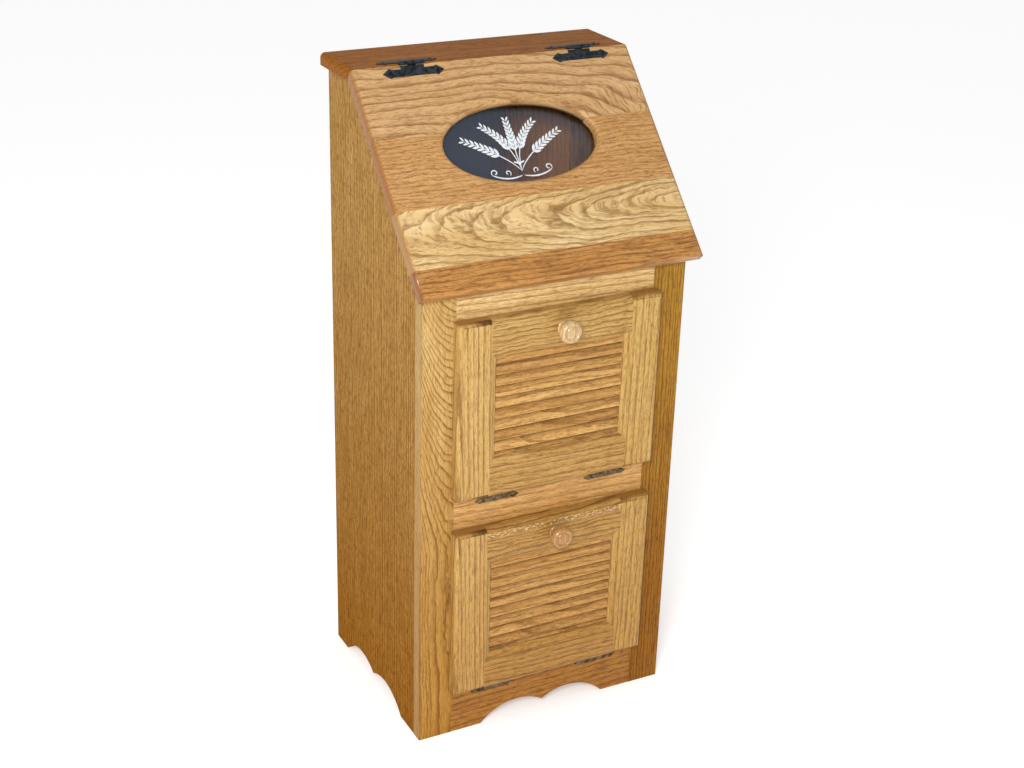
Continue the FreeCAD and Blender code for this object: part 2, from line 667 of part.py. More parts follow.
def build_door(prefix, door_z, hinge_screws):
    blank = door_blank(door_z)
    x_open, z0, z1 = door_opening(door_z)
    knob_z = (z1 + DOOR_STICKING + door_z + door_height - DOOR_FIELD_INSET) / 2
    fixing = knob_screw(knob_z)
    zones = {"left": door_stile_zone(door_z, -1), "right": door_stile_zone(door_z, 1)}
    for side, zone in zones.items():
        nodes["%s_door_%s_stile" % (prefix, side)] = minus(blank.common(zone), hinge_screws)
    rails = blank.cut(zones["left"]).cut(zones["right"])
    wide = DOOR_WIDTH
    middle = (z0 + z1) / 2
    halves = {"bottom": box(-wide, wide, -wide, wide, door_z - CUT_MARGIN, middle),
              "top": box(-wide, wide, -wide, wide, middle, door_z + wide)}
    for level, half in halves.items():
        rail = minus(rails.common(half), [fixing] + hinge_screws)
        nodes["%s_door_%s_rail" % (prefix, level)] = rail
    pitch = (z1 - z0) / (LOUVER_COUNT - 1)
    lean = cos(radians(LOUVER_TILT))
    rise = ((LOUVER_WIDTH - LOUVER_THICKNESS) * lean + LOUVER_THICKNESS) / 2
    lowest = z0 + (LOUVER_SHOW_RATIO - 1) * pitch + rise
    slats = [louver(lowest + i * pitch) for i in range(LOUVER_COUNT)]
    keep = box(-x_open, x_open, door_front, door_back, z0, z1)
    nodes[prefix + "_louvers"] = group(slat.common(keep) for slat in slats)
    body = placed(knob(), Vector(0, door_front, knob_z), Vector(1, 0, 0), Vector(0, 0, 1))
    nodes[prefix + "_knob"] = body.cut(fixing)
    nodes[prefix + "_knob_screw"] = fixing
    across, drop = BUMPER_PLACE
    radius, thickness = BUMPER
    pads = [Part.makeCylinder(radius, thickness,
                              Vector(side * across, door_back, door_z + door_height - drop),
                              Vector(0, 1, 0)) for side in (-1, 1)]
    nodes[prefix + "_door_bumpers"] = group(pads)


def build_bin(prefix, door_z):
    """The bin behind a door: two quarter-round sides, a floor and a back that is the stop."""
    pin_z = door_z - pin_drop
    half = opening_half - BIN_SIDE_GAP
    front = door_back
    back = pin_y + bin_depth
    low = pin_z + BIN_UNDERSIDE

    def on_arc(y):
        return pin_z + sqrt(bin_radius ** 2 - (y - pin_y) ** 2)
    middle = (front + back) * 0.55
    corners = [Vector(0, front, on_arc(front)), Vector(0, front, low), Vector(0, back, low),
               Vector(0, back, on_arc(back))]
    edges = [Part.makeLine(a, b) for a, b in zip(corners, corners[1:])]
    edges.append(Part.Arc(corners[-1], Vector(0, middle, on_arc(middle)), corners[0]).toShape())
    cheek = Part.Face(Part.Wire(Part.__sortEdges__(edges))).extrude(Vector(BIN_SIDE, 0, 0))
    nodes[prefix + "_bin_left_side"] = cheek.translated(Vector(-half, 0, 0))
    nodes[prefix + "_bin_right_side"] = cheek.translated(Vector(half - BIN_SIDE, 0, 0))
    inside = half - BIN_SIDE
    nodes[prefix + "_bin_floor"] = box(-inside, inside, front, back - BIN_BACK, low, low + BIN_FLOOR)
    nodes[prefix + "_bin_back"] = box(-inside, inside, back - BIN_BACK, back,
                                      low, pin_z + bin_stop)


# ---- whole cabinet -------------------------------------------------------------------------

def main():
    build_case()
    build_lid(build_lid_hinges())
    doors = {"lower": LOWER_DOOR_Z, "upper": LOWER_DOOR_Z + door_pitch}
    for (prefix, door_z), screws in zip(doors.items(), build_door_hinges(doors)):
        build_door(prefix, door_z, screws)
        build_bin(prefix, door_z)
    os.makedirs("parts", exist_ok=True)
    for name, shape in nodes.items():
        shape.translated(Vector(0, shift_y, 0)).exportStep("parts/%s.step" % name)


main()
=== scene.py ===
"""Looks of the tilt-out vegetable bin cabinet: oak, hardware, window and studio.

Metres, +X right, +Y back, +Z up, origin in the middle of the cabinet's base.
"""
from math import cos, pi, radians, sin

import bmesh
import bpy
from mathutils import Matrix, Vector


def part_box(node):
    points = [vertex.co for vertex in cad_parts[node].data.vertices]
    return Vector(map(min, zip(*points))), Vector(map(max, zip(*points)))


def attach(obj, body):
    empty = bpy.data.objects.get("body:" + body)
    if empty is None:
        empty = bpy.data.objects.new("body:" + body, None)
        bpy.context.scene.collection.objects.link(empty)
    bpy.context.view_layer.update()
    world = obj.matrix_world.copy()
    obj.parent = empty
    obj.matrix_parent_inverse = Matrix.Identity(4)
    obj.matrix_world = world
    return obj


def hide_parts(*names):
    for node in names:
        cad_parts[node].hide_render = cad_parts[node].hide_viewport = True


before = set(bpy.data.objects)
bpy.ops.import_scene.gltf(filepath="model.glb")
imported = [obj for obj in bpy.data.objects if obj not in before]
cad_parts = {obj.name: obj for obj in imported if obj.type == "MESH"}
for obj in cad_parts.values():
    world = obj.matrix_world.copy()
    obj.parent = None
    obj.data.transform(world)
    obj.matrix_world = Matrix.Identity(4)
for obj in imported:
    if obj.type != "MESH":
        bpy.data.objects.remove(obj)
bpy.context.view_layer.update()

bl_info = {
    "name": "Tilt-out vegetable bin cabinet",
    "version": (1, 0, 0),
    "blender": (4, 5, 0),
    "location": "3D View > Sidebar > Bin cabinet",
    "description": "Builds the wood, hardware, window and studio round the cabinet's solids",
    "category": "Object",
}

MM = 0.001
MERGE = 0.000002
ACROSS = Vector((1, 0, 0))
BACK = Vector((0, 1, 0))
UP = Vector((0, 0, 1))

# The lid's own frame: corner where lid and top board meet, down its slope, and out of its face
TOP_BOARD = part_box("top_board")
LID_SLOPE = radians(46)
DOWN_LID = Vector((0, -cos(LID_SLOPE), -sin(LID_SLOPE)))
OUT_OF_LID = Vector((0, -sin(LID_SLOPE), cos(LID_SLOPE)))
SEAM_GAP = 0.0003
SEAM = Vector((0, TOP_BOARD[0][1] - SEAM_GAP / cos(LID_SLOPE / 2), TOP_BOARD[1][2]))

# What the painted shade under the slat above lets through, the share of the face that stays clear
# of it, the slats' own shade of colour, and how far they miss their place and the rails
SLAT_PAINTED_SHADE = (0.24, 0.16, 0.09, 1)
SLAT_CLEAR = 0.42
SLAT_SHADE = (0.92, 0.91, 0.93)
SLAT_MISFIT = 0.012
SLAT_GAP = 0.0002
SLAT_TRIM = 0.0001
SLAT_CROWN = 0.0007

# What the stain that end grain drinks lets through, and how much figure shows in it
END_STAIN = (0.62, 0.48, 0.36, 1)
END_FIGURE = 0.35

# The row of chips on one rail: colours, the stretch of the noise that places them, fade in mm
CHIP = (0.66, 0.48, 0.24, 1)
CHIP_SHADOW = (0.27, 0.13, 0.04, 1)
CHIP_STRETCH = (0.20, 0.42, 0.42)
CHIP_FADE = 2.5

# Height at which the boards begin to darken towards the foot, and the varnish's coat
FOOT_TOP = 0.75
COAT_ROUGH = 0.14
COAT_FROM = 0.2
COAT_SHARE = 0.6

# Pale, deeper and dark wood against the ground colour, and the two ends of the slats' tones
PALE_WOOD = (1.13, 1.16, 1.26, 1)
DEEP_WOOD = (0.90, 0.82, 0.66, 1)
DARK_WOOD = (0.40, 0.29, 0.17, 1)
PALE_SLAT = (1.14, 1.16, 1.18, 1)
DEEP_SLAT = (0.88, 0.82, 0.76, 1)


# ---- node trees ----------------------------------------------------------------------------

class Graph:
    """Adds nodes to a tree and links them."""

    def __init__(self, tree):
        self.tree = tree

    def put(self, socket, value):
        if isinstance(value, bpy.types.NodeSocket):
            self.tree.links.new(value, socket)
        else:
            socket.default_value = value

    def node(self, kind, inputs=None, **settings):
        made = self.tree.nodes.new(kind)
        for key, value in settings.items():
            setattr(made, key, value)
        for key, value in (inputs or {}).items():
            self.put(made.inputs[key], value)
        return made

    def math(self, operation, *values, clamp=False):
        made = self.node("ShaderNodeMath", operation=operation, use_clamp=clamp)
        for socket, value in zip(made.inputs, values):
            self.put(socket, value)
        return made.outputs[0]

    def plus(self, first, second):
        return self.math("ADD", first, second)

    def minus(self, first, second):
        return self.math("SUBTRACT", first, second)

    def times(self, first, second, clamp=False):
        return self.math("MULTIPLY", first, second, clamp=clamp)

    def over(self, first, second):
        return self.math("DIVIDE", first, second)

    def mix(self, factor, first, second, blend="MIX"):
        inputs = {"Factor": factor, 6: first, 7: second}
        made = self.node("ShaderNodeMix", inputs, data_type="RGBA", blend_type=blend)
        return made.outputs[2]

    def noise(self, vector, scale, seed=0.0, detail=2.0, rough=0.5):
        inputs = {"Vector": vector, "W": seed, "Scale": scale, "Detail": detail, "Roughness": rough}
        return self.node("ShaderNodeTexNoise", inputs, noise_dimensions="4D").outputs["Fac"]

    def span(self, value, low, high, to_low=0.0, to_high=1.0, smooth=False):
        kind = "SMOOTHSTEP" if smooth else "LINEAR"
        inputs = {0: value, 1: low, 2: high, 3: to_low, 4: to_high}
        return self.node("ShaderNodeMapRange", inputs, interpolation_type=kind).outputs[0]

    def axis(self, vector, number):
        return self.node("ShaderNodeSeparateXYZ", {0: vector}).outputs[number]

    def bump(self, shader, height, strength, distance):
        inputs = {"Height": height, "Strength": strength, "Distance": distance}
        self.put(shader.inputs["Normal"], self.node("ShaderNodeBump", inputs).outputs[0])

    def stretch(self, vector, x, y, z):
        made = self.node("ShaderNodeVectorMath", {0: vector, 1: (x, y, z)}, operation="MULTIPLY")
        return made.outputs[0]


def srgb(red, green, blue):
    """A colour given in ordinary 0-255 numbers, as linear red, green, blue and alpha."""
    def linear(value):
        value /= 255
        return value / 12.92 if value <= 0.04045 else ((value + 0.055) / 1.055) ** 2.4
    return (linear(red), linear(green), linear(blue), 1.0)


def fresh_material(name):
    """A new material, its graph and its shader."""
    material = bpy.data.materials.new(name)
    material.use_nodes = True
    return material, Graph(material.node_tree), material.node_tree.nodes["Principled BSDF"]


def copying_tree(name, sockets):
    """A geometry tree with these inputs and one output, its graph and its inputs' sockets."""
    tree = bpy.data.node_groups.new(name, "GeometryNodeTree")
    for label, kind in sockets:
        tree.interface.new_socket(name=label, in_out="INPUT", socket_type="NodeSocket" + kind)
    tree.interface.new_socket(name=name, in_out="OUTPUT", socket_type="NodeSocketGeometry")
    g = Graph(tree)
    return tree, g, g.node("NodeGroupInput").outputs


def close_tree(g, copies, material):
    """Makes the copies real, gives them their material and ends the tree."""
    real = g.node("GeometryNodeRealizeInstances", {0: copies}).outputs[0]
    done = g.node("GeometryNodeSetMaterial", {"Geometry": real, "Material": material})
    g.node("NodeGroupOutput", {0: done.outputs[0]})


def oak_figure():
    """Growth rings, streaks, pores and flecks of a board. X runs along the grain, in mm."""
    tree = bpy.data.node_groups.new("Oak figure", "ShaderNodeTree")
    sockets = (("Board", "Vector", (0, 0, 0)), ("Heart Across", "Float", 0.0),
               ("Heart Depth", "Float", 60.0), ("Taper", "Float", 0.05),
               ("Taper Start", "Float", 0.0), ("Taper Curve", "Float", 0.0),
               ("Ring Width", "Float", 5.0), ("Wave", "Float", 3.0), ("Follow", "Float", 0.8),
               ("Wave Length", "Float", 160.0), ("Ripple", "Float", 0.6), ("Seed", "Float", 0.0),
               ("Ground", "Color", (1, 1, 1, 1)), ("Ring Strength", "Float", 0.6),
               ("Streak Strength", "Float", 0.6), ("Streak Size", "Float", 1.0),
               ("Pore Strength", "Float", 0.6), ("Patch Strength", "Float", 0.5))
    for name, kind, default in sockets:
        made = tree.interface.new_socket(name=name, in_out="INPUT", socket_type="NodeSocket" + kind)
        made.default_value = default
    for name, kind in (("Color", "Color"), ("Height", "Float"), ("Roughness", "Float")):
        tree.interface.new_socket(name=name, in_out="OUTPUT", socket_type="NodeSocket" + kind)
    g = Graph(tree)
    given = g.node("NodeGroupInput").outputs
    seed = given["Seed"]
    board = given["Board"]
    parts = g.node("ShaderNodeSeparateXYZ", {0: board}).outputs

    # Distance from the heart of the tree, which drifts away along the board
    per_wave = g.over(1.0, given["Wave Length"])
    bend = g.noise(g.stretch(board, 1, 2.0, 2.0), per_wave, seed, 1.5)
    wave = g.times(g.minus(bend, 0.5), g.times(given["Wave"], 3.0))
    short = g.noise(g.stretch(board, 1, 1.3, 1.3), g.times(per_wave, 5.5), seed, 1.0)
    ripple = g.times(g.minus(short, 0.5), g.times(given["Ripple"], 3.0))
    past = g.minus(parts[0], given["Taper Start"])
    past = g.math("SMOOTH_MAX", past, 0.0, 60.0)
    steeper = g.math("POWER", g.over(past, 300.0), given["Taper Curve"])
    drift = g.times(g.times(past, steeper), given["Taper"])
    across = g.minus(parts[1], given["Heart Across"])
    deep = g.plus(g.plus(given["Heart Depth"], drift), parts[2])
    reach = g.math("SQRT", g.plus(g.times(across, across), g.times(deep, deep)))
    reach = g.plus(reach, g.plus(wave, ripple))

    # Rings of uneven width; each starts dark and pales towards its end
    rings = g.over(reach, given["Ring Width"])
    uneven = g.node("ShaderNodeCombineXYZ", {0: g.times(rings, 0.37)}).outputs[0]
    rings = g.plus(rings, g.times(g.noise(uneven, 1.0, seed, 0.0), 1.8))
    ramp = g.node("ShaderNodeValToRGB", {0: g.math("FRACT", rings)})
    stops = ((0.0, 0.0), (0.05, 0.95), (0.15, 1.0), (0.24, 0.5), (0.42, 0.12), (0.8, 0.0))
    while len(ramp.color_ramp.elements) < len(stops):
        ramp.color_ramp.elements.new(0.5)
    for element, (place, tone) in zip(ramp.color_ramp.elements, stops):
        element.position = place
        element.color = (tone, tone, tone, 1)
    which = g.node("ShaderNodeTexWhiteNoise", {"W": g.math("FLOOR", rings)}, noise_dimensions="1D")
    own = g.span(which.outputs["Value"], 0, 1, 0.6, 1.0)
    broken = g.span(g.noise(g.stretch(board, 0.02, 0.2, 0.2), 1.0, seed, 2.0), 0.34, 0.52, 0.45, 1.0)
    ring = g.times(ramp.outputs[0], g.times(own, broken))

    # Streaks: dark dashes along the grain, thickest beside the ring lines
    per_size = g.over(1.0, given["Streak Size"])
    beside = g.span(given["Follow"], 0.0, 1.0, parts[1], reach)
    grain = g.node("ShaderNodeCombineXYZ", {0: parts[0], 1: beside, 2: parts[2]}).outputs[0]
    long_dash = g.noise(g.stretch(grain, 0.022, 0.36, 0.36), per_size, seed, 3.0, 0.55)
    short_dash = g.noise(g.stretch(grain, 0.07, 0.85, 0.85), per_size, seed, 2.0, 0.55)
    long_dash = g.span(long_dash, 0.52, 0.59, 0.0, 0.7)
    dash = g.plus(long_dash, g.span(short_dash, 0.54, 0.61, 0.0, 0.85))
    dash = g.times(dash, g.span(ring, 0.0, 0.4, 0.6, 1.0), clamp=True)

    # Long fine pores and short rays
    fine = g.noise(g.stretch(grain, 0.09, 1.7, 1.7), 1.0, seed, 2.0, 0.6)
    pores = g.span(g.plus(fine, g.times(ring, 0.08)), 0.54, 0.62, smooth=True)
    fleck = g.span(g.noise(g.stretch(board, 0.25, 0.8, 0.8), 1.0, seed, 1.0), 0.60, 0.74, smooth=True)

    # Drifts of paler and deeper wood over the ground colour
    ground = given["Ground"]
    pale = g.mix(1.0, ground, PALE_WOOD, "MULTIPLY")
    honey = g.mix(1.0, ground, DEEP_WOOD, "MULTIPLY")
    line = g.mix(1.0, ground, DARK_WOOD, "MULTIPLY")
    drifts = g.noise(g.stretch(board, 0.006, 0.030, 0.030), 1.0, seed, 2.0)
    patches = g.times(g.span(drifts, 0.36, 0.64), given["Patch Strength"])
    wood = g.mix(patches, pale, honey)
    shades = g.noise(g.stretch(board, 0.010, 0.16, 0.16), 1.0, seed, 2.0)
    wood = g.mix(g.span(shades, 0.36, 0.66, 0.0, 0.55), wood, honey)
    wood = g.mix(g.times(ring, given["Ring Strength"], clamp=True), wood, line)
    wood = g.mix(g.times(dash, given["Streak Strength"], clamp=True), wood, line)
    wood = g.mix(g.times(pores, given["Pore Strength"], clamp=True), wood, line)
    wood = g.mix(g.times(fleck, 0.25), wood, pale)

    dents = g.plus(g.times(pores, 0.6), g.times(dash, 0.4))
    height = g.minus(1.0, dents)
    rough = g.plus(g.span(shades, 0.2, 0.8, 0.27, 0.37), g.times(pores, 0.12))
    g.node("NodeGroupOutput", {"Color": wood, "Height": height, "Roughness": rough})
    return tree


FIGURE = []


def board_material(name, grain, across, start, ground, gloss=0.25, slat=False, foot=1.0,
                   chips=None, ends=None, **figure):
    """Varnished oak for one board. grain and across lie along its length and its width.

    foot is the share of the darker colour that it takes low down, chips the heights across it
    between which a row of pale chips runs, and ends its length and how deep its ends drank
    the stain.
    """
    if not FIGURE:
        FIGURE.append(oak_figure())
    material, g, shader = fresh_material(name)
    turn = Matrix((grain, across, grain.cross(across)))
    shift = -(turn @ Vector(start)) / MM
    place = g.node("ShaderNodeTexCoord").outputs["Object"]
    mapping = {"Vector": place, "Location": shift, "Rotation": turn.to_euler(), "Scale": (1 / MM,) * 3}
    board = g.node("ShaderNodeMapping", mapping, vector_type="POINT").outputs[0]
    # The boards are darker towards the foot of the cabinet
    varnish = bpy.context.scene.cabinet_wood.foot
    depth = g.span(g.axis(place, 2), FOOT_TOP, 0.0, 0.0, foot)
    deepened = g.mix(1.0, ground, varnish, "MULTIPLY")
    inputs = {"Board": board, "Ground": g.mix(depth, ground, deepened)}
    if slat:
        own = g.node("ShaderNodeAttribute", attribute_name="slat").outputs["Fac"]
        inputs["Seed"] = g.plus(g.times(own, 7.3), figure.pop("seed"))
        tone = g.node("ShaderNodeAttribute", attribute_name="tone").outputs["Fac"]
        shade = g.mix(tone, PALE_SLAT, DEEP_SLAT)
        own_ground = g.mix(1.0, inputs["Ground"], shade, "MULTIPLY")
        # Painted shade: the upper part of each slat, under the slat above, is darkened
        depth = g.node("ShaderNodeAttribute", attribute_name="recess").outputs["Fac"]
        inputs["Ground"] = g.mix(depth, own_ground, g.mix(1.0, own_ground, SLAT_PAINTED_SHADE, "MULTIPLY"))
    inputs.update({key.replace("_", " ").title(): value for key, value in figure.items()})
    wood = g.node("ShaderNodeGroup", node_tree=FIGURE[0])
    for key, value in inputs.items():
        g.put(wood.inputs[key], value)
    colour = wood.outputs["Color"]
    if chips:
        low, high = chips
        height = g.axis(board, 1)
        row = g.times(g.span(height, low, low + CHIP_FADE),
                     g.span(height, high, high - CHIP_FADE))
        spots = g.stretch(board, *CHIP_STRETCH)
        chip = g.span(g.noise(spots, 1.0, 3.0, 1.0), 0.52, 0.60, 0.0, 0.75)
        shadow = g.span(g.noise(spots, 1.0, 9.0, 1.0), 0.52, 0.60)
        colour = g.mix(g.times(row, shadow), colour, CHIP_SHADOW)
        colour = g.mix(g.times(row, chip), colour, CHIP)
    if ends:
        length, depth = ends
        along = g.axis(board, 0)
        near = g.math("MAXIMUM", g.span(along, depth, depth * 0.3),
                      g.span(along, length - depth, length - depth * 0.3))
        plain = g.mix(END_FIGURE, inputs["Ground"], colour)
        colour = g.mix(near, colour, g.mix(1.0, plain, END_STAIN, "MULTIPLY"))
    g.put(shader.inputs["Base Color"], colour)
    g.put(shader.inputs["Roughness"], wood.outputs["Roughness"])
    g.bump(shader, wood.outputs["Height"], 0.3, 0.0003)
    shader.inputs["Specular IOR Level"].default_value = gloss
    shader.inputs["Coat Weight"].default_value = max(0.0, gloss - COAT_FROM) * COAT_SHARE
    shader.inputs["Coat Roughness"].default_value = COAT_ROUGH
    return material


def metal_material(name, base, tint, rough, hammer, grain_size, metallic=1.0):
    """Worn metal: two tones in patches, dents and a drifting gloss."""
    material, g, shader = fresh_material(name)
    place = g.node("ShaderNodeTexCoord").outputs["Object"]
    patches = g.noise(place, 1 / grain_size, 2.0, 4.0)
    speck = g.noise(place, 6 / grain_size, 5.0, 2.0)
    g.put(shader.inputs["Base Color"], g.mix(g.span(patches, 0.38, 0.62), base, tint))
    g.put(shader.inputs["Roughness"], g.span(patches, 0.3, 0.7, rough - 0.1, rough + 0.12))
    height = g.plus(g.times(patches, 0.8), g.times(speck, 0.2))
    g.bump(shader, height, hammer, 0.0006)
    shader.inputs["Metallic"].default_value = metallic
    return material


# ---- meshes --------------------------------------------------------------------------------

def corners(node):
    """The low and the high corner of a node's box."""
    low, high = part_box(node)
    return Vector(low), Vector(high)


def placed(name, data):
    """A new object with this data, in the scene."""
    thing = bpy.data.objects.new(name, data)
    bpy.context.scene.collection.objects.link(thing)
    return thing


def to_mesh(name, bm, turn_out=True):
    """The bmesh as a mesh, its faces turned outwards if asked."""
    if turn_out:
        bmesh.ops.recalc_face_normals(bm, faces=bm.faces)
    mesh = bpy.data.meshes.new(name)
    bm.to_mesh(mesh)
    bm.free()
    return mesh


def evaluated_mesh(thing):
    """What the modifiers make of an object, as a plain mesh; they are taken off after."""
    bpy.context.view_layer.update()
    evaluated = thing.evaluated_get(bpy.context.evaluated_depsgraph_get())
    mesh = bpy.data.meshes.new_from_object(evaluated)
    thing.modifiers.clear()
    return mesh


def dress(node, material):
    """Gives a CAD node its material."""
    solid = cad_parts[node].data
    solid.materials.clear()
    solid.materials.append(material)


def finish_piece(name, mesh, material, body, replaced=(), smooth=radians(35)):
    """A piece that rides on a body and stands for the replaced nodes."""
    mesh.name = name
    mesh.shade_smooth()
    mesh.set_sharp_from_angle(angle=smooth)
    if material:
        mesh.materials.clear()
        mesh.materials.append(material)
    piece = placed(name, mesh)
    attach(piece, body)
    if replaced:
        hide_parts(*replaced)
    return piece


def node_copy(node):
    """A CAD node's mesh as a bmesh with its corners joined."""
    bm = bmesh.new()
    bm.from_mesh(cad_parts[node].data)
    bmesh.ops.remove_doubles(bm, verts=bm.verts, dist=MERGE)
    return bm


MOST_CHANGE = 0.06


def eased(node, name, material, body, ease, least=0.006, sharp=radians(38)):
    """The node's board with its long sharp edges rounded over by hand, as sandpaper leaves them."""
    bm = node_copy(node)
    bmesh.ops.dissolve_limit(bm, angle_limit=radians(0.4), verts=bm.verts, edges=bm.edges)
    volume = bm.calc_volume()
    edges = [e for e in bm.edges if len(e.link_faces) == 2 and e.calc_length() > least
             and e.calc_face_angle(0) > sharp and e.is_convex]
    strips = set()
    if ease:
        bevel = bmesh.ops.bevel(bm, geom=edges, offset=ease, segments=2, profile=0.5, affect="EDGES",
                                clamp_overlap=True, harden_normals=False)
        strips.update(bevel["faces"])
    changed = abs(bm.calc_volume() - volume) / volume
    open_edges = [e for e in bm.edges if not e.is_manifold]
    if changed > MOST_CHANGE or open_edges:
        raise RuntimeError(f"{node}: {len(open_edges)} open edges, volume off by {changed:.3f}")
    # The narrow strips are shaded apart, so that they don't tilt the faces beside them
    bm.edges.index_update()
    borders = [e.index for e in bm.edges if len({face in strips for face in e.link_faces}) == 2]
    mesh = to_mesh(name, bm, turn_out=False)
    piece = finish_piece(name, mesh, material, body, (node,), smooth=radians(50))
    for index in borders:
        piece.data.edges[index].use_edge_sharp = True
    return weighted(piece)


def weighted(piece):
    """Shades flat faces flat and lets only the eased edges turn."""
    modifier = piece.modifiers.new("Weighted", "WEIGHTED_NORMAL")
    modifier.keep_sharp = True
    modifier.weight = 100
    mesh = evaluated_mesh(piece)
    old = piece.data
    name = old.name
    piece.data = mesh
    bpy.data.meshes.remove(old)
    mesh.name = name
    return piece


def lathe(profile, origin, axis, steps=72):
    """A closed bmesh turned about the axis from (radius, height) points, first and last at radius 0."""
    side = axis.orthogonal().normalized()
    other = axis.cross(side)
    bm = bmesh.new()
    rings = []
    for radius, height in profile:
        middle = origin + axis * height
        if radius == 0:
            rings.append([bm.verts.new(middle)])
            continue
        ring = []
        for i in range(steps):
            angle = 2 * pi * i / steps
            ring.append(bm.verts.new(middle + (side * cos(angle) + other * sin(angle)) * radius))
        rings.append(ring)
    for low, high in zip(rings, rings[1:]):
        for i in range(steps):
            j = (i + 1) % steps
            corners = [low[i % len(low)], low[j % len(low)], high[j % len(high)], high[i % len(high)]]
            bm.faces.new(list(dict.fromkeys(corners)))
    return bm


# ---- sizes and colours that a user can change ------------------------------------------------

class WoodSettings(bpy.types.PropertyGroup):
    light: bpy.props.FloatVectorProperty(
        name="Light oak", description="Ground colour of the doors and the stiles", size=4,
        subtype="COLOR", default=srgb(208, 165, 98))
    lid: bpy.props.FloatVectorProperty(
        name="Lid oak", description="Ground colour of the lid's wide boards", size=4,
        subtype="COLOR", default=srgb(204, 163, 108))
    honey: bpy.props.FloatVectorProperty(
        name="Honey oak", description="Ground colour of the rails", size=4, subtype="COLOR",
        default=srgb(196, 148, 84))
    brown: bpy.props.FloatVectorProperty(
        name="Brown oak", description="Ground colour of the sides", size=4, subtype="COLOR",
        default=srgb(178, 130, 66))
    dark: bpy.props.FloatVectorProperty(
        name="Dark oak", description="Ground colour of the top board and the lid's lower strip",
        size=4, subtype="COLOR", default=srgb(166, 112, 58))
    bare: bpy.props.FloatVectorProperty(
        name="Bin wood", description="Bare wood of bins, shelves and back", size=4,
        subtype="COLOR", default=srgb(200, 164, 112))
    # The colour that darkens the boards towards the floor
    foot: bpy.props.FloatVectorProperty(
        name="Foot varnish", description="What the deeper varnish at the floor lets through",
        size=4, subtype="COLOR", default=(0.72, 0.52, 0.22, 1))
    ease: bpy.props.FloatProperty(
        name="Edge ease", description="Radius that sanding leaves on the boards' edges",
        default=0.0006, min=0.0, max=0.003, unit="LENGTH")


class LouverSettings(bpy.types.PropertyGroup):
    count: bpy.props.IntProperty(
        name="Slats", description="Slats in each door, with the one that the rail cuts off",
        default=10, min=2, max=20)
    width: bpy.props.FloatProperty(
        name="Slat width", description="Width of a slat across its grain", default=0.0215,
        min=0.005, unit="LENGTH")
    thickness: bpy.props.FloatProperty(
        name="Slat thickness", description="Thickness of a slat", default=0.0046,
        min=0.001, unit="LENGTH")
    tilt: bpy.props.FloatProperty(
        name="Tilt", description="Lean of the slats' lower edges towards the front",
        default=radians(28), subtype="ANGLE")
    show: bpy.props.FloatProperty(
        name="Cut slat shown", description="Share of the pitch that the lowest slat shows",
        default=0.46, min=0.0, max=1.0)
    seed: bpy.props.IntProperty(
        name="Seed", description="Draw of the slats' tones and small misfits", default=4, min=0)


class HardwareSettings(bpy.types.PropertyGroup):
    black: bpy.props.FloatVectorProperty(
        name="Black iron", description="Lid hinges", size=4, subtype="COLOR",
        default=srgb(34, 37, 40))
    bronze: bpy.props.FloatVectorProperty(
        name="Old bronze", description="Door hinges", size=4, subtype="COLOR",
        default=srgb(70, 56, 42))
    knob_radius: bpy.props.FloatProperty(
        name="Knob radius", description="Largest radius of a knob", default=0.017,
        min=0.005, unit="LENGTH")


class WindowSettings(bpy.types.PropertyGroup):
    centre: bpy.props.FloatProperty(
        name="Centre", description="Middle of the oval, down the slope from the seam",
        default=0.1335, min=0.0, unit="LENGTH")
    recess: bpy.props.FloatProperty(
        name="Recess", description="Depth of the pane's face under the lid's face",
        default=0.013, min=0.0, unit="LENGTH")
    aside: bpy.props.FloatProperty(
        name="Aside", description="How far the wheat stands off the middle of the pane",
        default=-0.009, unit="LENGTH")
    pairs: bpy.props.IntProperty(
        name="Pairs", description="Pairs of grains on each ear of wheat", default=8, min=2, max=20)
    grain_length: bpy.props.FloatProperty(
        name="Grain length", description="Length of the lowest grains of an ear",
        default=0.0125, min=0.002, unit="LENGTH")
    paint: bpy.props.FloatVectorProperty(
        name="Paint", description="White paint of the wheat pattern", size=4, subtype="COLOR",
        default=srgb(228, 234, 238))


class StageSettings(bpy.types.PropertyGroup):
    camera: bpy.props.FloatVectorProperty(
        name="Camera place", description="Where the camera stands", size=3, subtype="XYZ",
        unit="LENGTH", default=(-1.0777, -2.0271, 1.5218))
    azimuth: bpy.props.FloatProperty(
        name="Azimuth", description="The camera's turn about the vertical", subtype="ANGLE",
        default=radians(-28.10))
    elevation: bpy.props.FloatProperty(
        name="Elevation", description="How far the camera looks down", subtype="ANGLE",
        default=radians(24.27))
    roll: bpy.props.FloatProperty(
        name="Roll", description="The camera's lean about its own axis", subtype="ANGLE",
        default=radians(1.72))
    lens: bpy.props.FloatProperty(
        name="Lens", description="Focal length on a 36 mm frame, in mm", default=59.78, min=10)
    key_place: bpy.props.FloatVectorProperty(
        name="Key place", description="Where the soft key light stands", size=3,
        subtype="XYZ", unit="LENGTH", default=(-1.35, -1.95, 1.75))
    key_size: bpy.props.FloatProperty(
        name="Key size", description="Width of the key light", default=0.7, min=0.05,
        unit="LENGTH")
    key_power: bpy.props.FloatProperty(
        name="Key power", description="Power of the key light, in watts", default=46, min=0)
    overhead: bpy.props.FloatProperty(
        name="Overhead", description="Strength of the wide light from above", default=0.3, min=0)
    sky: bpy.props.FloatProperty(
        name="Sky", description="Strength of the white surroundings", default=0.55, min=0)
    floor: bpy.props.FloatVectorProperty(
        name="Floor", description="Colour of the studio floor", size=4, subtype="COLOR",
        default=(0.97, 0.97, 0.97, 1))
    floor_glow: bpy.props.FloatProperty(
        name="Floor glow", description="Light that the paper sweep under the cabinet gives back",
        default=0.32, min=0)


# ---- boards --------------------------------------------------------------------------------

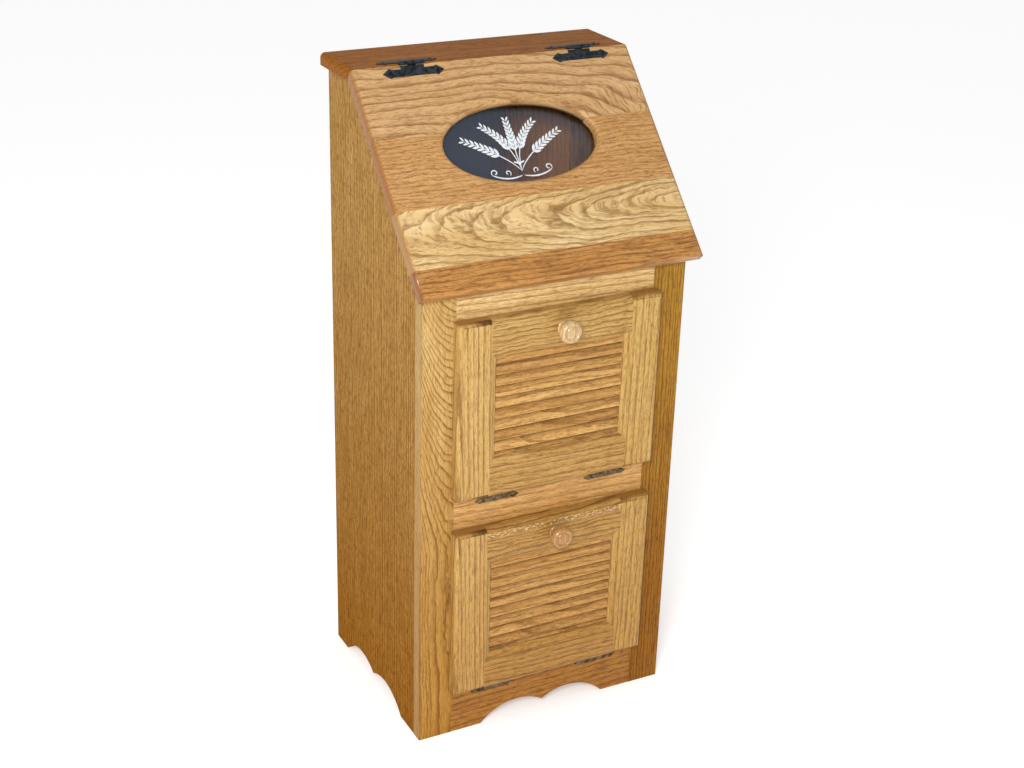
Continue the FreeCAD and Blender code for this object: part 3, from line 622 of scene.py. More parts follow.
def ground(kind, shade=(1.0, 1.0, 1.0)):
    """The ground colour of a family of boards, made deeper or lighter for one board."""
    colour = getattr(bpy.context.scene.cabinet_wood, kind)
    return tuple(c * s for c, s in zip(colour, shade)) + (1.0,)


# Directions along and across the grain
UPRIGHT = (UP, ACROSS)
LEVEL = (ACROSS, UP)
FRONT_BACK = (UP, BACK)
FLAT = (ACROSS, BACK)
ON_LID = (ACROSS, DOWN_LID)

# Board: slot, family and shade of its colour, directions along and across the grain, figure.
# Heart, ring and wave sizes are millimetres on the board, counted from its low corner.
CASE_BOARDS = {
    "left_side": ("dark_oak", "brown", (1.13, 1.35, 1.88), FRONT_BACK, dict(
        seed=3.1, heart_across=-300, heart_depth=200, taper=0.01, ring_width=5, wave=3,
        wave_length=500, ring_strength=0.9, streak_strength=1.0, streak_size=0.8,
        pore_strength=1.0, gloss=0.0)),
    "right_side": ("dark_oak", "brown", (1.13, 1.35, 1.88), FRONT_BACK, dict(
        seed=8.7, heart_across=420, heart_depth=230, taper=0.05, ring_width=7, wave=6,
        wave_length=400, ring_strength=0.7, streak_strength=0.75, gloss=0.0)),
    "face_left_stile": ("oak", "light", (0.93, 1.05, 1.20), UPRIGHT, dict(
        seed=1.4, heart_across=54, heart_depth=150, taper=-0.1, taper_start=300, ring_width=1.75,
        wave=1.6, wave_length=140, ripple=0.6, ring_strength=1.0, streak_strength=0.35,
        patch_strength=0.7, taper_curve=0.6, follow=0.2, gloss=0.1)),
    "face_right_stile": ("oak", "honey", (0.77, 0.79, 0.40), UPRIGHT, dict(
        seed=2.2, heart_across=-60, heart_depth=30, taper=0.01, ring_width=5, wave=2,
        wave_length=300, ring_strength=1.0, streak_strength=0.9, foot=1.3, gloss=0.1)),
    "face_top_rail": ("oak", "light", (1.18, 1.36, 1.80), LEVEL, dict(
        seed=5.0, heart_across=-60, heart_depth=50, ring_width=8, wave=2, ring_strength=0.75,
        streak_strength=0.85, foot=0.5)),
    "face_middle_rail": ("oak", "honey", (1.26, 1.44, 1.85), LEVEL, dict(
        seed=6.3, heart_across=-60, heart_depth=70, ring_width=9, wave=3, ring_strength=0.6,
        streak_strength=0.7, patch_strength=0.9, foot=0.6)),
    "face_bottom_rail": ("oak", "honey", (0.93, 0.98, 0.68), LEVEL, dict(
        seed=7.9, heart_across=140, heart_depth=60, taper=0.03, ring_width=9, wave=3,
        ring_strength=0.75, streak_strength=0.9)),
    "top_board": ("dark_oak", "dark", (0.88, 0.72, 0.16), FLAT, dict(
        seed=9.4, heart_across=-40, heart_depth=120, taper=0.03, ring_width=8, wave=4,
        ring_strength=0.5, streak_strength=0.6, gloss=0.03, follow=0.5)),
}
LID_BOARDS = {
    "lid_upper_board": ("oak", "lid", (0.95, 0.96, 1.05), ON_LID, dict(
        seed=11.2, heart_across=118, heart_depth=14, taper=0.24, taper_start=180, ring_width=13,
        wave=9, wave_length=150, ripple=1.6, ring_strength=0.8, streak_strength=0.5, end_stain=6)),
    "lid_middle_board": ("dark_oak", "lid", (0.90, 0.82, 0.74), ON_LID, dict(
        seed=12.5, heart_across=300, heart_depth=40, taper=0.06, ring_width=6, wave=5,
        wave_length=80, ripple=1.2, ring_strength=0.5, streak_strength=0.6, streak_size=0.6, end_stain=6)),
    "lid_lower_board": ("oak", "lid", (1.12, 1.31, 1.50), ON_LID, dict(
        seed=13.8, heart_across=254, heart_depth=62, taper=-0.12, ring_width=7, wave=5,
        wave_length=110, ripple=1.5, ring_strength=0.85, streak_strength=0.8, streak_size=1.3,
        patch_strength=0.8, end_stain=6)),
    "lid_front_strip": ("dark_oak", "dark", (1.24, 1.38, 1.15), ON_LID, dict(
        seed=14.6, heart_across=420, heart_depth=40, taper=0.03, ring_width=6, wave=4,
        ring_strength=0.8, streak_strength=0.9, gloss=0.45, end_stain=6)),
}
DOOR_BOARDS = {
    "door_left_stile": ("oak", "light", (0.95, 1.05, 1.12), UPRIGHT, dict(
        heart_across=-45, heart_depth=30, ring_width=7, wave=2.5, wave_length=260,
        ring_strength=0.85, streak_strength=0.8, foot=0.65, end_stain=5)),
    "door_right_stile": ("oak", "light", (0.90, 0.98, 0.93), UPRIGHT, dict(
        heart_across=120, heart_depth=35, ring_width=8, wave=2.5, wave_length=280,
        ring_strength=0.65, streak_strength=0.7, foot=0.65, end_stain=5)),
    "door_top_rail": ("oak", "light", (0.83, 0.88, 0.86), LEVEL, dict(
        heart_across=70, heart_depth=8, taper=0.08, taper_start=60, ring_width=7, wave=6,
        wave_length=130, ripple=1.6, ring_strength=0.95, streak_strength=0.8, foot=0.9)),
    "door_bottom_rail": ("oak", "light", (0.84, 0.88, 0.86), LEVEL, dict(
        heart_across=-40, heart_depth=40, taper=0.05, ring_width=8, wave=4, wave_length=160,
        ring_strength=0.8, streak_strength=0.9, foot=0.8)),
}

# The rail with chips, and the heights in mm between which their row runs
CHIPPED = {"lower_door_top_rail": (43, 54)}

# Bare boards: directions of the grain
PLAIN_BOARDS = {"back_panel": UPRIGHT, "bottom_shelf": FLAT, "middle_shelf": FLAT,
                "bread_floor": FLAT, "shelf_cleats": (BACK, UP)}
for bin_name in ("upper_bin", "lower_bin"):
    PLAIN_BOARDS.update({bin_name + "_left_side": FRONT_BACK, bin_name + "_right_side": FRONT_BACK,
                         bin_name + "_floor": FLAT, bin_name + "_back": LEVEL})

# Bare boards that took some varnish
INSIDE_TONES = {"back_panel": ("honey", (1.20, 1.04, 0.82)), "bread_floor": ("honey", (1.30, 1.10, 0.80))}


def ease_boards(boards, body, ease, prefix="", seed=0.0):
    """Every board of a table in its own oak, on this body."""
    for name, (slot, kind, shade, (grain, across), figure) in boards.items():
        node = prefix + name
        start = corners(node)[0]
        if across is DOWN_LID:
            start = Vector((start.x, SEAM.y, SEAM.z))
        figure = dict(figure)
        figure["seed"] = figure.get("seed", 0.0) + seed
        if node in CHIPPED:
            figure["chips"] = CHIPPED[node]
        if "end_stain" in figure:
            low, high = corners(node)
            figure["ends"] = ((high - low).dot(grain) / MM, figure.pop("end_stain"))
        material = board_material(f"Oak {node}", grain, across, start, ground(kind, shade), **figure)
        eased(node, node + "_wood", material, body, ease)


class BuildStep:
    """Shared by the operators below."""
    bl_options = {"REGISTER"}


class CABINET_OT_case(BuildStep, bpy.types.Operator):
    """Sides, face frame and top board in varnished oak with eased edges"""
    bl_idname = "cabinet.case"
    bl_label = "Case"

    def execute(self, context):
        ease_boards(CASE_BOARDS, "cabinet", context.scene.cabinet_wood.ease)
        return {"FINISHED"}


class CABINET_OT_lid(BuildStep, bpy.types.Operator):
    """The four boards of the slanted lid, flush where they are glued"""
    bl_idname = "cabinet.lid"
    bl_label = "Lid"

    def execute(self, context):
        ease_boards(LID_BOARDS, "lid", 0.0)
        return {"FINISHED"}


class CABINET_OT_doors(BuildStep, bpy.types.Operator):
    """Stiles and rails of both doors"""
    bl_idname = "cabinet.doors"
    bl_label = "Doors"

    def execute(self, context):
        ease = context.scene.cabinet_wood.ease
        for number, prefix in enumerate(("upper_", "lower_")):
            ease_boards(DOOR_BOARDS, prefix + "bin", ease, prefix, 20.0 + 10.0 * number)
        return {"FINISHED"}


class CABINET_OT_inside(BuildStep, bpy.types.Operator):
    """Bins, shelves, cleats and back panel in bare wood"""
    bl_idname = "cabinet.inside"
    bl_label = "Inside"

    def execute(self, context):
        for number, (node, (grain, across)) in enumerate(PLAIN_BOARDS.items()):
            tone = ground(*INSIDE_TONES.get(node, ("bare",)))
            material = board_material(
                f"Bare {node}", grain, across, corners(node)[0], tone, gloss=0.1,
                seed=40.0 + number, heart_across=60, heart_depth=180, ring_width=7.0, wave=8,
                wave_length=200, ring_strength=0.4, streak_strength=0.35, pore_strength=0.3)
            dress(node, material)
        return {"FINISHED"}


# ---- louvers -------------------------------------------------------------------------------

def slat_mesh(length, width, thickness, tilt):
    """One slat, leaning, with a crowned face and round edges; its left end lies at X = 0.

    The attribute recess rises from 0 low on the slat's face to 1 at its upper edge, and sets how much
    painted shade the slat takes there.
    """
    back, turns = thickness / 2, 6
    reach = width / 2 - back
    outline = [(cos(pi * i / turns) * back, reach + sin(pi * i / turns) * back)
               for i in range(turns + 1)]
    outline += [(-back - SLAT_CROWN * sin(pi * i / turns), reach * (1 - 2 * i / turns))
                for i in range(1, turns)]
    outline += [(-cos(pi * i / turns) * back, -reach - sin(pi * i / turns) * back)
                for i in range(turns + 1)]
    bm = bmesh.new()
    lean = Matrix.Rotation(-tilt, 3, "X")
    rows = [[bm.verts.new(lean @ Vector((x, y, z))) for y, z in outline] for x in (0, length)]
    for i in range(len(outline)):
        j = (i + 1) % len(outline)
        bm.faces.new((rows[0][i], rows[0][j], rows[1][j], rows[1][i]))
    bm.faces.new(rows[0])
    bm.faces.new(list(reversed(rows[1])))
    mesh = to_mesh("slat", bm)
    recess = mesh.attributes.new("recess", "FLOAT", "POINT")
    for vertex, place in zip(mesh.vertices, recess.data):
        share = (vertex.co.z / (width * cos(tilt)) + 0.5 - SLAT_CLEAR) / (1 - SLAT_CLEAR)
        place.value = min(1.0, max(0.0, share))
    return mesh


def trimmed(mesh, low, high):
    """Cuts the mesh off level below and above, and closes the cuts."""
    bm = bmesh.new()
    bm.from_mesh(mesh)
    for height, up in ((low, -1), (high, 1)):
        everything = bm.verts[:] + bm.edges[:] + bm.faces[:]
        cut = bmesh.ops.bisect_plane(bm, geom=everything, plane_co=(0, 0, height),
                                     plane_no=(0, 0, up), clear_outer=True)
        edges = [e for e in cut["geom_cut"] if isinstance(e, bmesh.types.BMEdge)]
        bmesh.ops.holes_fill(bm, edges=edges)
    bm.to_mesh(mesh)
    bm.free()


def louver_tree():
    """Stacks the given slat upwards, with a small misfit and a tone of its own for each copy."""
    sockets = (("Slat", "Geometry"), ("Count", "Int"), ("Pitch", "Float"), ("First", "Vector"),
               ("Misfit", "Float"), ("Seed", "Int"), ("Wood", "Material"))
    tree, g, given = copying_tree("Louvers", sockets)
    rise = g.node("ShaderNodeCombineXYZ", {"Z": given["Pitch"]}).outputs[0]
    line = {"Count": given["Count"], "Start Location": given["First"], "Offset": rise}
    points = g.node("GeometryNodeMeshLine", line, mode="OFFSET").outputs[0]
    index = g.node("GeometryNodeInputIndex").outputs[0]
    lean = g.node("FunctionNodeRandomValue", {"Min": (-0.5, 0, 0), "Max": (0.5, 0, 0),
                                              "ID": index, "Seed": given["Seed"]},
                  data_type="FLOAT_VECTOR").outputs[0]
    turn = g.node("ShaderNodeVectorMath", {0: lean, 3: given["Misfit"]}, operation="SCALE")
    copies = g.node("GeometryNodeInstanceOnPoints", {"Points": points, "Instance": given["Slat"],
                                                     "Rotation": turn.outputs[0]}).outputs[0]
    tone = g.node("FunctionNodeRandomValue", {2: 0.0, 3: 1.0, "ID": index, "Seed": given["Seed"]},
                  data_type="FLOAT").outputs[1]
    for name, value in (("slat", index), ("tone", tone)):
        copies = g.node("GeometryNodeStoreNamedAttribute",
                        {"Geometry": copies, "Name": name, "Value": value},
                        data_type="FLOAT", domain="INSTANCE").outputs[0]
    close_tree(g, copies, given["Wood"])
    return tree


def grown(name, seed_mesh, tree, inputs):
    """Runs a tree on a mesh and returns the result as a plain mesh."""
    carrier = placed(name + "_seed", seed_mesh)
    modifier = carrier.modifiers.new("Grow", "NODES")
    modifier.node_group = tree
    for item in tree.interface.items_tree:
        if item.in_out == "INPUT" and item.name in inputs:
            modifier[item.identifier] = inputs[item.name]
    mesh = evaluated_mesh(carrier)
    bpy.data.objects.remove(carrier)
    return mesh


class CABINET_OT_louvers(BuildStep, bpy.types.Operator):
    """Crowned slats that fill the middle of each door"""
    bl_idname = "cabinet.louvers"
    bl_label = "Louvers"

    def execute(self, context):
        s = context.scene.cabinet_louvers
        tree = louver_tree()
        for number, prefix in enumerate(("upper", "lower")):
            low, high = corners(prefix + "_louvers")
            slat_high = s.width * cos(s.tilt) + s.thickness * (1 - cos(s.tilt))
            slat = slat_mesh(high.x - low.x, s.width, s.thickness, s.tilt)
            pitch = (high.z - low.z) / (s.count - 1)
            deep = max(v.co.y for v in slat.vertices)
            lowest = low.z + (s.show - 1) * pitch + slat_high / 2
            first = Vector((low.x, high.y - deep - SLAT_GAP, lowest))
            material = board_material(
                f"Oak {prefix} louvers", ACROSS, UP, low, ground("light", SLAT_SHADE),
                slat=True, foot=0.4, seed=60.0 + 9 * number, heart_across=-30, heart_depth=70,
                taper=0.04, ring_width=6.0, wave=3, wave_length=120, ring_strength=0.6,
                streak_strength=0.7, streak_size=0.8)
            inputs = {"Count": s.count, "Pitch": pitch, "First": first, "Misfit": SLAT_MISFIT,
                      "Seed": s.seed + number, "Wood": material}
            mesh = grown(prefix + "_slats", slat, tree, inputs)
            trimmed(mesh, low.z + SLAT_TRIM, high.z - SLAT_TRIM)
            finish_piece(prefix + "_slats", mesh, None, prefix + "_bin",
                         (prefix + "_louvers",))
        return {"FINISHED"}


# ---- knobs ---------------------------------------------------------------------------------

def knob_profile(radius, length):
    """Flared foot, waist, full body, rim, groove and button, as (radius, height)."""
    shape = ((0.0, 0.0), (0.55, 0.0), (0.56, 0.02), (0.50, 0.06), (0.46, 0.12), (0.44, 0.20),
             (0.45, 0.27), (0.52, 0.34), (0.66, 0.40), (0.80, 0.47), (0.91, 0.54), (0.98, 0.62),
             (1.0, 0.69), (0.985, 0.77), (0.94, 0.85), (0.87, 0.91), (0.80, 0.950), (0.74, 0.965),
             (0.68, 0.958), (0.63, 0.935), (0.585, 0.915), (0.55, 0.915), (0.52, 0.93),
             (0.46, 0.962), (0.36, 0.982), (0.22, 0.996), (0.10, 1.0), (0.0, 1.0))
    return [(r * radius, h * length) for r, h in shape]


def smooth_profile(points, steps=4):
    """The profile with its corners taken off by a spline through the points."""
    result = [points[0]]
    for i in range(len(points) - 1):
        before, a, b, after = (points[max(0, min(len(points) - 1, i + k))] for k in (-1, 0, 1, 2))
        for step in range(1, steps + 1):
            t = step / steps
            place = []
            for p0, p1, p2, p3 in zip(before, a, b, after):
                place.append(0.5 * (2 * p1 + (p2 - p0) * t + (2 * p0 - 5 * p1 + 4 * p2 - p3) * t * t
                                    + (3 * p1 - p0 - 3 * p2 + p3) * t ** 3))
            result.append((max(0.0, place[0]), place[1]))
    result[-1] = points[-1]
    return result


# Door, family and shade of its knob's colour
KNOB_MERGE = 0.00002
KNOBS = (("upper", "light", (1.02, 1.22, 1.85)), ("lower", "honey", (0.98, 1.04, 1.12)))


class CABINET_OT_knobs(BuildStep, bpy.types.Operator):
    """Turned knobs with a dished face and a button"""
    bl_idname = "cabinet.knobs"
    bl_label = "Knobs"

    def execute(self, context):
        radius = context.scene.cabinet_hardware.knob_radius
        for number, (prefix, kind, shade) in enumerate(KNOBS):
            low, high = corners(prefix + "_knob")
            foot = Vector(((low.x + high.x) / 2, high.y, (low.z + high.z) / 2))
            bm = lathe(smooth_profile(knob_profile(radius, high.y - low.y)), foot, -BACK)
            bmesh.ops.remove_doubles(bm, verts=bm.verts, dist=KNOB_MERGE)
            material = board_material(
                f"Oak {prefix} knob", UP, ACROSS, foot, ground(kind, shade), seed=80.0 + number,
                gloss=0.7, heart_across=9, heart_depth=20, ring_width=3.4, wave=1.5,
                wave_length=40, ring_strength=0.6, streak_strength=0.4, streak_size=0.5)
            name = prefix + "_turned_knob"
            finish_piece(name, to_mesh(name, bm), material, prefix + "_bin",
                         (prefix + "_knob",))
        return {"FINISHED"}


# ---- hinges and screws -----------------------------------------------------------------------

IRON_NODES = {"lid_hinge_top_leaves": "cabinet", "lid_hinge_pins": "cabinet",
              "lid_hinge_lid_leaves": "lid"}
BRONZE_NODES = {"door_hinge_frame_leaves": "cabinet", "door_hinge_pins": "cabinet",
                "upper_hinge_door_leaves": "upper_bin", "lower_hinge_door_leaves": "lower_bin"}
METALS = {}
LEAF_EASE = 0.0003
LEAST_LEAF_EDGE = 0.0008


class CABINET_OT_hinges(BuildStep, bpy.types.Operator):
    """Black iron lid hinges and old bronze door hinges, clips and bumpers"""
    bl_idname = "cabinet.hinges"
    bl_label = "Hinges"

    def execute(self, context):
        s = context.scene.cabinet_hardware
        shared = metals(s)
        rubber = metal_material("Bumper", srgb(210, 206, 196), srgb(196, 190, 178), 0.6, 0.2,
                                0.002, 0.0)
        kinds = ((IRON_NODES, "iron", "black_steel"), (BRONZE_NODES, "bronze", "bronze"))
        for nodes, metal, slot in kinds:
            material = shared[metal]
            for node, body in nodes.items():
                if "leaves" in node:
                    eased(node, node + "_filed", material, body, LEAF_EASE,
                          least=LEAST_LEAF_EDGE)
                else:
                    dress(node, material)
        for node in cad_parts:
            if "bumpers" in node:
                dress(node, rubber)
        dress("window_clips", shared["zinc"])
        return {"FINISHED"}


def metals(s):
    """Black iron, old bronze and zinc, made once and shared."""
    if not METALS:
        black, bronze = tuple(s.black), tuple(s.bronze)
        METALS["iron"] = metal_material("Black iron", black, srgb(62, 72, 80), 0.40, 0.5, 0.006, 0.85)
        METALS["bronze"] = metal_material("Old bronze", bronze, srgb(128, 106, 78), 0.28, 0.3, 0.007)
        METALS["zinc"] = metal_material("Zinc", srgb(150, 150, 148), srgb(190, 190, 188), 0.3, 0.2,
                                        0.003)
    return METALS


# Fasteners: body, slot, direction in which the head faces, metal, and whether it is a nail
FASTENERS = {
    "lid_hinge_top_screws": ("cabinet", "black_steel", UP, "iron", False),
    "lid_hinge_lid_screws": ("lid", "black_steel", OUT_OF_LID, "iron", False),
    "door_hinge_frame_screws": ("cabinet", "bronze", -BACK, "bronze", False),
    "upper_hinge_door_screws": ("upper_bin", "bronze", -UP, "bronze", False),
    "lower_hinge_door_screws": ("lower_bin", "bronze", -UP, "bronze", False),
    "cleat_screws": ("cabinet", "bright_steel", ACROSS, "zinc", False),
    "back_nails": ("cabinet", "bright_steel", BACK, "zinc", True),
    "window_clip_screws": ("lid", "bright_steel", -OUT_OF_LID, "zinc", False),
    "upper_knob_screw": ("upper_bin", "bright_steel", BACK, "zinc", False),
    "lower_knob_screw": ("lower_bin", "bright_steel", BACK, "zinc", False),
}


def islands(node):
    """The corners of each separate solid of a CAD node."""
    bm = node_copy(node)
    seen, found = set(), []
    for start in bm.verts:
        if start in seen:
            continue
        seen.add(start)
        group, queue = [], [start]
        while queue:
            corner = queue.pop()
            group.append(corner.co.copy())
            for edge in corner.link_edges:
                other = edge.other_vert(corner)
                if other not in seen:
                    seen.add(other)
                    queue.append(other)
        found.append(group)
    bm.free()
    return found


# Shares of the shank and rises of the point, shares of the head, and the cross cut in it
SCREW_TIP = ((0.25, 0.1), (0.6, 0.5), (1.0, 1.2))
HEAD_RINGS = (1.0, 0.9, 0.78, 0.66, 0.54, 0.42, 0.30, 0.18, 0.08, 0.0)
CROSS_HALF_WIDTH = 0.14
CROSS_REACH = 0.60
CROSS_DEPTH = 0.26


def fastener_mesh(radius, length, nail):
    """A domed screw with a cross cut in its head, or a flat nail, under Z = 0."""
    head, shank = (0.23, 0.36) if nail else (0.42, 0.42)
    rim = 0.08 if nail else 0.22
    crown = head - rim
    profile = [(0.0, -length)]
    profile += [(shank * r * radius, -length + radius * h) for r, h in SCREW_TIP]
    profile += [(shank * radius, -head * radius), (0.93 * radius, -head * radius)]
    profile += [(radius, -(head - rim * 0.5) * radius)]
    for share in HEAD_RINGS:
        profile.append((share * radius * 0.97, -crown * share * share * radius))
    bm = lathe(profile, Vector((0, 0, 0)), UP, steps=24 if nail else 48)
    if not nail:
        for vert in bm.verts:
            near, far = sorted((abs(vert.co.x), abs(vert.co.y)))
            in_cross = near < CROSS_HALF_WIDTH * radius and far < CROSS_REACH * radius
            if vert.co.z > -crown * radius and in_cross:
                vert.co.z -= CROSS_DEPTH * radius
    return to_mesh("fastener", bm)


def fastener_tree():
    """Sets a copy of the given screw or nail at each place, its cross turned at random."""
    sockets = (("Fastener", "Geometry"), ("Places", "Object"), ("Seed", "Int"), ("Metal", "Material"))
    tree, g, given = copying_tree("Fasteners", sockets)
    places = g.node("GeometryNodeObjectInfo", {"Object": given["Places"]}).outputs["Geometry"]
    out = g.node("GeometryNodeInputNamedAttribute", {"Name": "out"}, data_type="FLOAT_VECTOR").outputs[0]
    facing = g.node("FunctionNodeAlignRotationToVector", {"Vector": out}, axis="Z").outputs[0]
    index = g.node("GeometryNodeInputIndex").outputs[0]
    angle = g.node("FunctionNodeRandomValue", {2: 0.0, 3: 2 * pi, "ID": index, "Seed": given["Seed"]},
                   data_type="FLOAT").outputs[1]
    spin = g.node("FunctionNodeAxisAngleToRotation", {"Axis": (0, 0, 1), "Angle": angle}).outputs[0]
    turn = g.node("FunctionNodeRotateRotation", {"Rotation": facing, "Rotate By": spin},
                  rotation_space="LOCAL").outputs[0]
    copies = g.node("GeometryNodeInstanceOnPoints", {"Points": places, "Instance": given["Fastener"],
                                                     "Rotation": turn}).outputs[0]
    close_tree(g, copies, given["Metal"])
    return tree


class CABINET_OT_fasteners(BuildStep, bpy.types.Operator):
    """Screws and nails, each set made from one template"""
    bl_idname = "cabinet.fasteners"
    bl_label = "Fasteners"

    def execute(self, context):
        tree = fastener_tree()
        shared = metals(context.scene.cabinet_hardware)
        for number, (node, (body, slot, facing, metal, nail)) in enumerate(FASTENERS.items()):
            tops, outs = [], []
            for group in islands(node):
                middle = sum(group, Vector()) / len(group)
                out = facing * (-1 if node == "cleat_screws" and middle.x > 0 else 1)
                heights = [corner.dot(out) for corner in group]
                tops.append(middle + out * (max(heights) - middle.dot(out)))
                outs.append(out)
                length = max(heights) - min(heights)
                radius = max((c - middle - out * (c - middle).dot(out)).length for c in group)
            spots = bpy.data.meshes.new("places")
            spots.from_pydata(tops, [], [])
            direction = spots.attributes.new("out", "FLOAT_VECTOR", "POINT")
            for value, out in zip(direction.data, outs):
                value.vector = out
            places = placed("places", spots)
            inputs = {"Places": places, "Seed": number, "Metal": shared[metal]}
            mesh = grown(node + "_set", fastener_mesh(radius, length, nail), tree, inputs)
            bpy.data.objects.remove(places)
            finish_piece(node + "_set", mesh, None, body, (node,))
        return {"FINISHED"}


# ---- window --------------------------------------------------------------------------------

# What smeared glass lets through and mirrors, and the painted dark reflection with its width and its most
PANE_CLEAR = ((0.92, 0.92, 0.92, 1), (0.97, 0.97, 0.96, 1))
PANE_MIRROR = (0.30, 0.40, 0.56, 1)
PANE_PAINTED_REFLECTION = (0.062, 0.077, 0.104, 1)
PANE_PAINTED_REFLECTION_WIDTH = 0.06
PANE_PAINTED_REFLECTION_MOST = 0.55


class CABINET_OT_window(BuildStep, bpy.types.Operator):
    """The glass in the lid's oval"""
    bl_idname = "cabinet.window"
    bl_label = "Window"

    def execute(self, context):
        material, g, shader = fresh_material("Window glass")
        material.node_tree.nodes.remove(shader)
        place = g.node("ShaderNodeTexCoord").outputs["Object"]
        smear = g.noise(place, 14.0, 1.0, 3.0)
        clear = g.mix(g.span(smear, 0.3, 0.7), *PANE_CLEAR)
        seen = g.node("ShaderNodeBsdfTransparent", {"Color": clear}).outputs[0]
        rough = g.span(smear, 0.3, 0.7, 0.03, 0.09)
        mirror = {"Color": PANE_MIRROR, "Roughness": rough}
        shine = g.node("ShaderNodeBsdfAnisotropic", mirror).outputs[0]
        edge = g.node("ShaderNodeFresnel", {"IOR": 1.5}).outputs[0]
        both = g.node("ShaderNodeMixShader", {0: edge, 1: seen, 2: shine}).outputs[0]
        # A dark reflection is painted on the left half of the pane as a grey film
        ragged = g.plus(g.axis(place, 0), g.span(smear, 0.3, 0.7, -0.02, 0.02))
        painted_reflection_share = g.span(ragged, 0.0, -PANE_PAINTED_REFLECTION_WIDTH, 0.0, PANE_PAINTED_REFLECTION_MOST)
        painted_reflection_film = g.node("ShaderNodeBsdfDiffuse", {"Color": PANE_PAINTED_REFLECTION}).outputs[0]
        with_painted_reflection = g.node("ShaderNodeMixShader", {0: painted_reflection_share, 1: both, 2: painted_reflection_film}).outputs[0]
        g.put(material.node_tree.nodes["Material Output"].inputs["Surface"], with_painted_reflection)
        dress("lid_window", material)
        return {"FINISHED"}


def bend(start, middle, end, steps=14):
    """Points along a soft bend from start to end, drawn towards the middle one."""
    places = []
    for i in range(steps + 1):
        t = i / steps
        places.append(Vector(start) * (1 - t) ** 2 + Vector(middle) * 2 * t * (1 - t)
                      + Vector(end) * t * t)
    return places


def curl(middle, radius, first, turn, steps=14):
    """Points along a curl that tightens to a third of its radius."""
    places = []
    for i in range(steps + 1):
        share = i / steps
        angle = first + turn * share
        reach = radius * (1 - 0.65 * share)
        places.append(Vector(middle) + Vector((cos(angle), sin(angle))) * reach)
    return places


def stroke(bm, line, width, thick):
    """A flat closed brush stroke along the line, narrow at both ends."""
    rows = []
    for i, place in enumerate(line):
        ahead = (line[min(i + 1, len(line) - 1)] - line[max(i - 1, 0)]).normalized()
        share = i / (len(line) - 1)
        half = width * (0.35 + 0.65 * sin(pi * share) ** 0.5) / 2
        side = Vector((-ahead.y, ahead.x)) * half
        corners = [(place - side, 0), (place + side, 0), (place + side, thick), (place - side, thick)]
        rows.append([bm.verts.new((p.x, p.y, z)) for p, z in corners])
    for one, two in zip(rows, rows[1:]):
        for i in range(4):
            j = (i + 1) % 4
            bm.faces.new((one[i], one[j], two[j], two[i]))
    bm.faces.new(rows[0])
    bm.faces.new(list(reversed(rows[-1])))


def grain_pair(length, thick, spread=radians(30), steps=5):
    """Two pointed grains that lean away from a stem running along Y."""
    bm = bmesh.new()
    for side in (-1, 1):
        along = Vector((side * sin(spread), cos(spread)))
        out = Vector((along.y, -along.x)) * length * 0.17
        root = Vector((side * length * 0.07, 0))
        shares = [i / steps for i in range(steps + 1)]
        rim = [root + along * length * t + out * sin(pi * t) ** 0.8 for t in shares]
        rim += [root + along * length * t - out * sin(pi * t) ** 0.8 for t in shares[-2:0:-1]]
        low = [bm.verts.new((p.x, p.y, 0)) for p in rim]
        high = [bm.verts.new((p.x, p.y, thick)) for p in rim]
        bm.faces.new(low)
        bm.faces.new(high)
        for i in range(len(rim)):
            j = (i + 1) % len(rim)
            bm.faces.new((low[i], low[j], high[j], high[i]))
    return to_mesh("grain_pair", bm)


def wheat_tree():
    """Sets pairs of grains along the upper part of each stem, smaller towards its tip."""
    sockets = (("Stems", "Geometry"), ("Grains", "Object"), ("Pairs", "Int"), ("Bare Share", "Float"),
               ("Tip Size", "Float"), ("Paint", "Material"))
    tree, g, given = copying_tree("Wheat", sockets)
    stems = g.node("GeometryNodeMeshToCurve", {0: given["Stems"]}).outputs[0]
    ears = g.node("GeometryNodeTrimCurve", {"Curve": stems, "Start": given["Bare Share"]}).outputs[0]
    spots = g.node("GeometryNodeCurveToPoints", {"Curve": ears, "Count": given["Pairs"]}).outputs
    turn = g.node("FunctionNodeAlignRotationToVector", {"Vector": spots["Tangent"]}, axis="Y",
                  pivot_axis="Z").outputs[0]
    index = g.node("GeometryNodeInputIndex").outputs[0]
    share = g.over(g.math("MODULO", index, given["Pairs"]), given["Pairs"])
    size = g.span(share, 0.0, 1.0, 1.0, given["Tip Size"])
    grains = g.node("GeometryNodeObjectInfo", {"Object": given["Grains"]}).outputs["Geometry"]
    copies = g.node("GeometryNodeInstanceOnPoints", {"Points": spots["Points"], "Instance": grains,
                                                     "Rotation": turn, "Scale": size}).outputs[0]
    close_tree(g, copies, given["Paint"])
    return tree


# Stems of the sheaf on the pane, in millimetres right of and above its middle: foot, bend, tip
SHEAF_FOOT = (0, -40)
STEM_BENDS = (((0, 0), (0, 38)), ((3, 6), (38, 32)), ((14, -16), (72, 14)))
BARE_SHARE = 0.42
TIP_SIZE = 0.62
PAINT_THICK = 0.00012
PAINT_LIFT = 0.00006
PAINT_WORN = 0.78


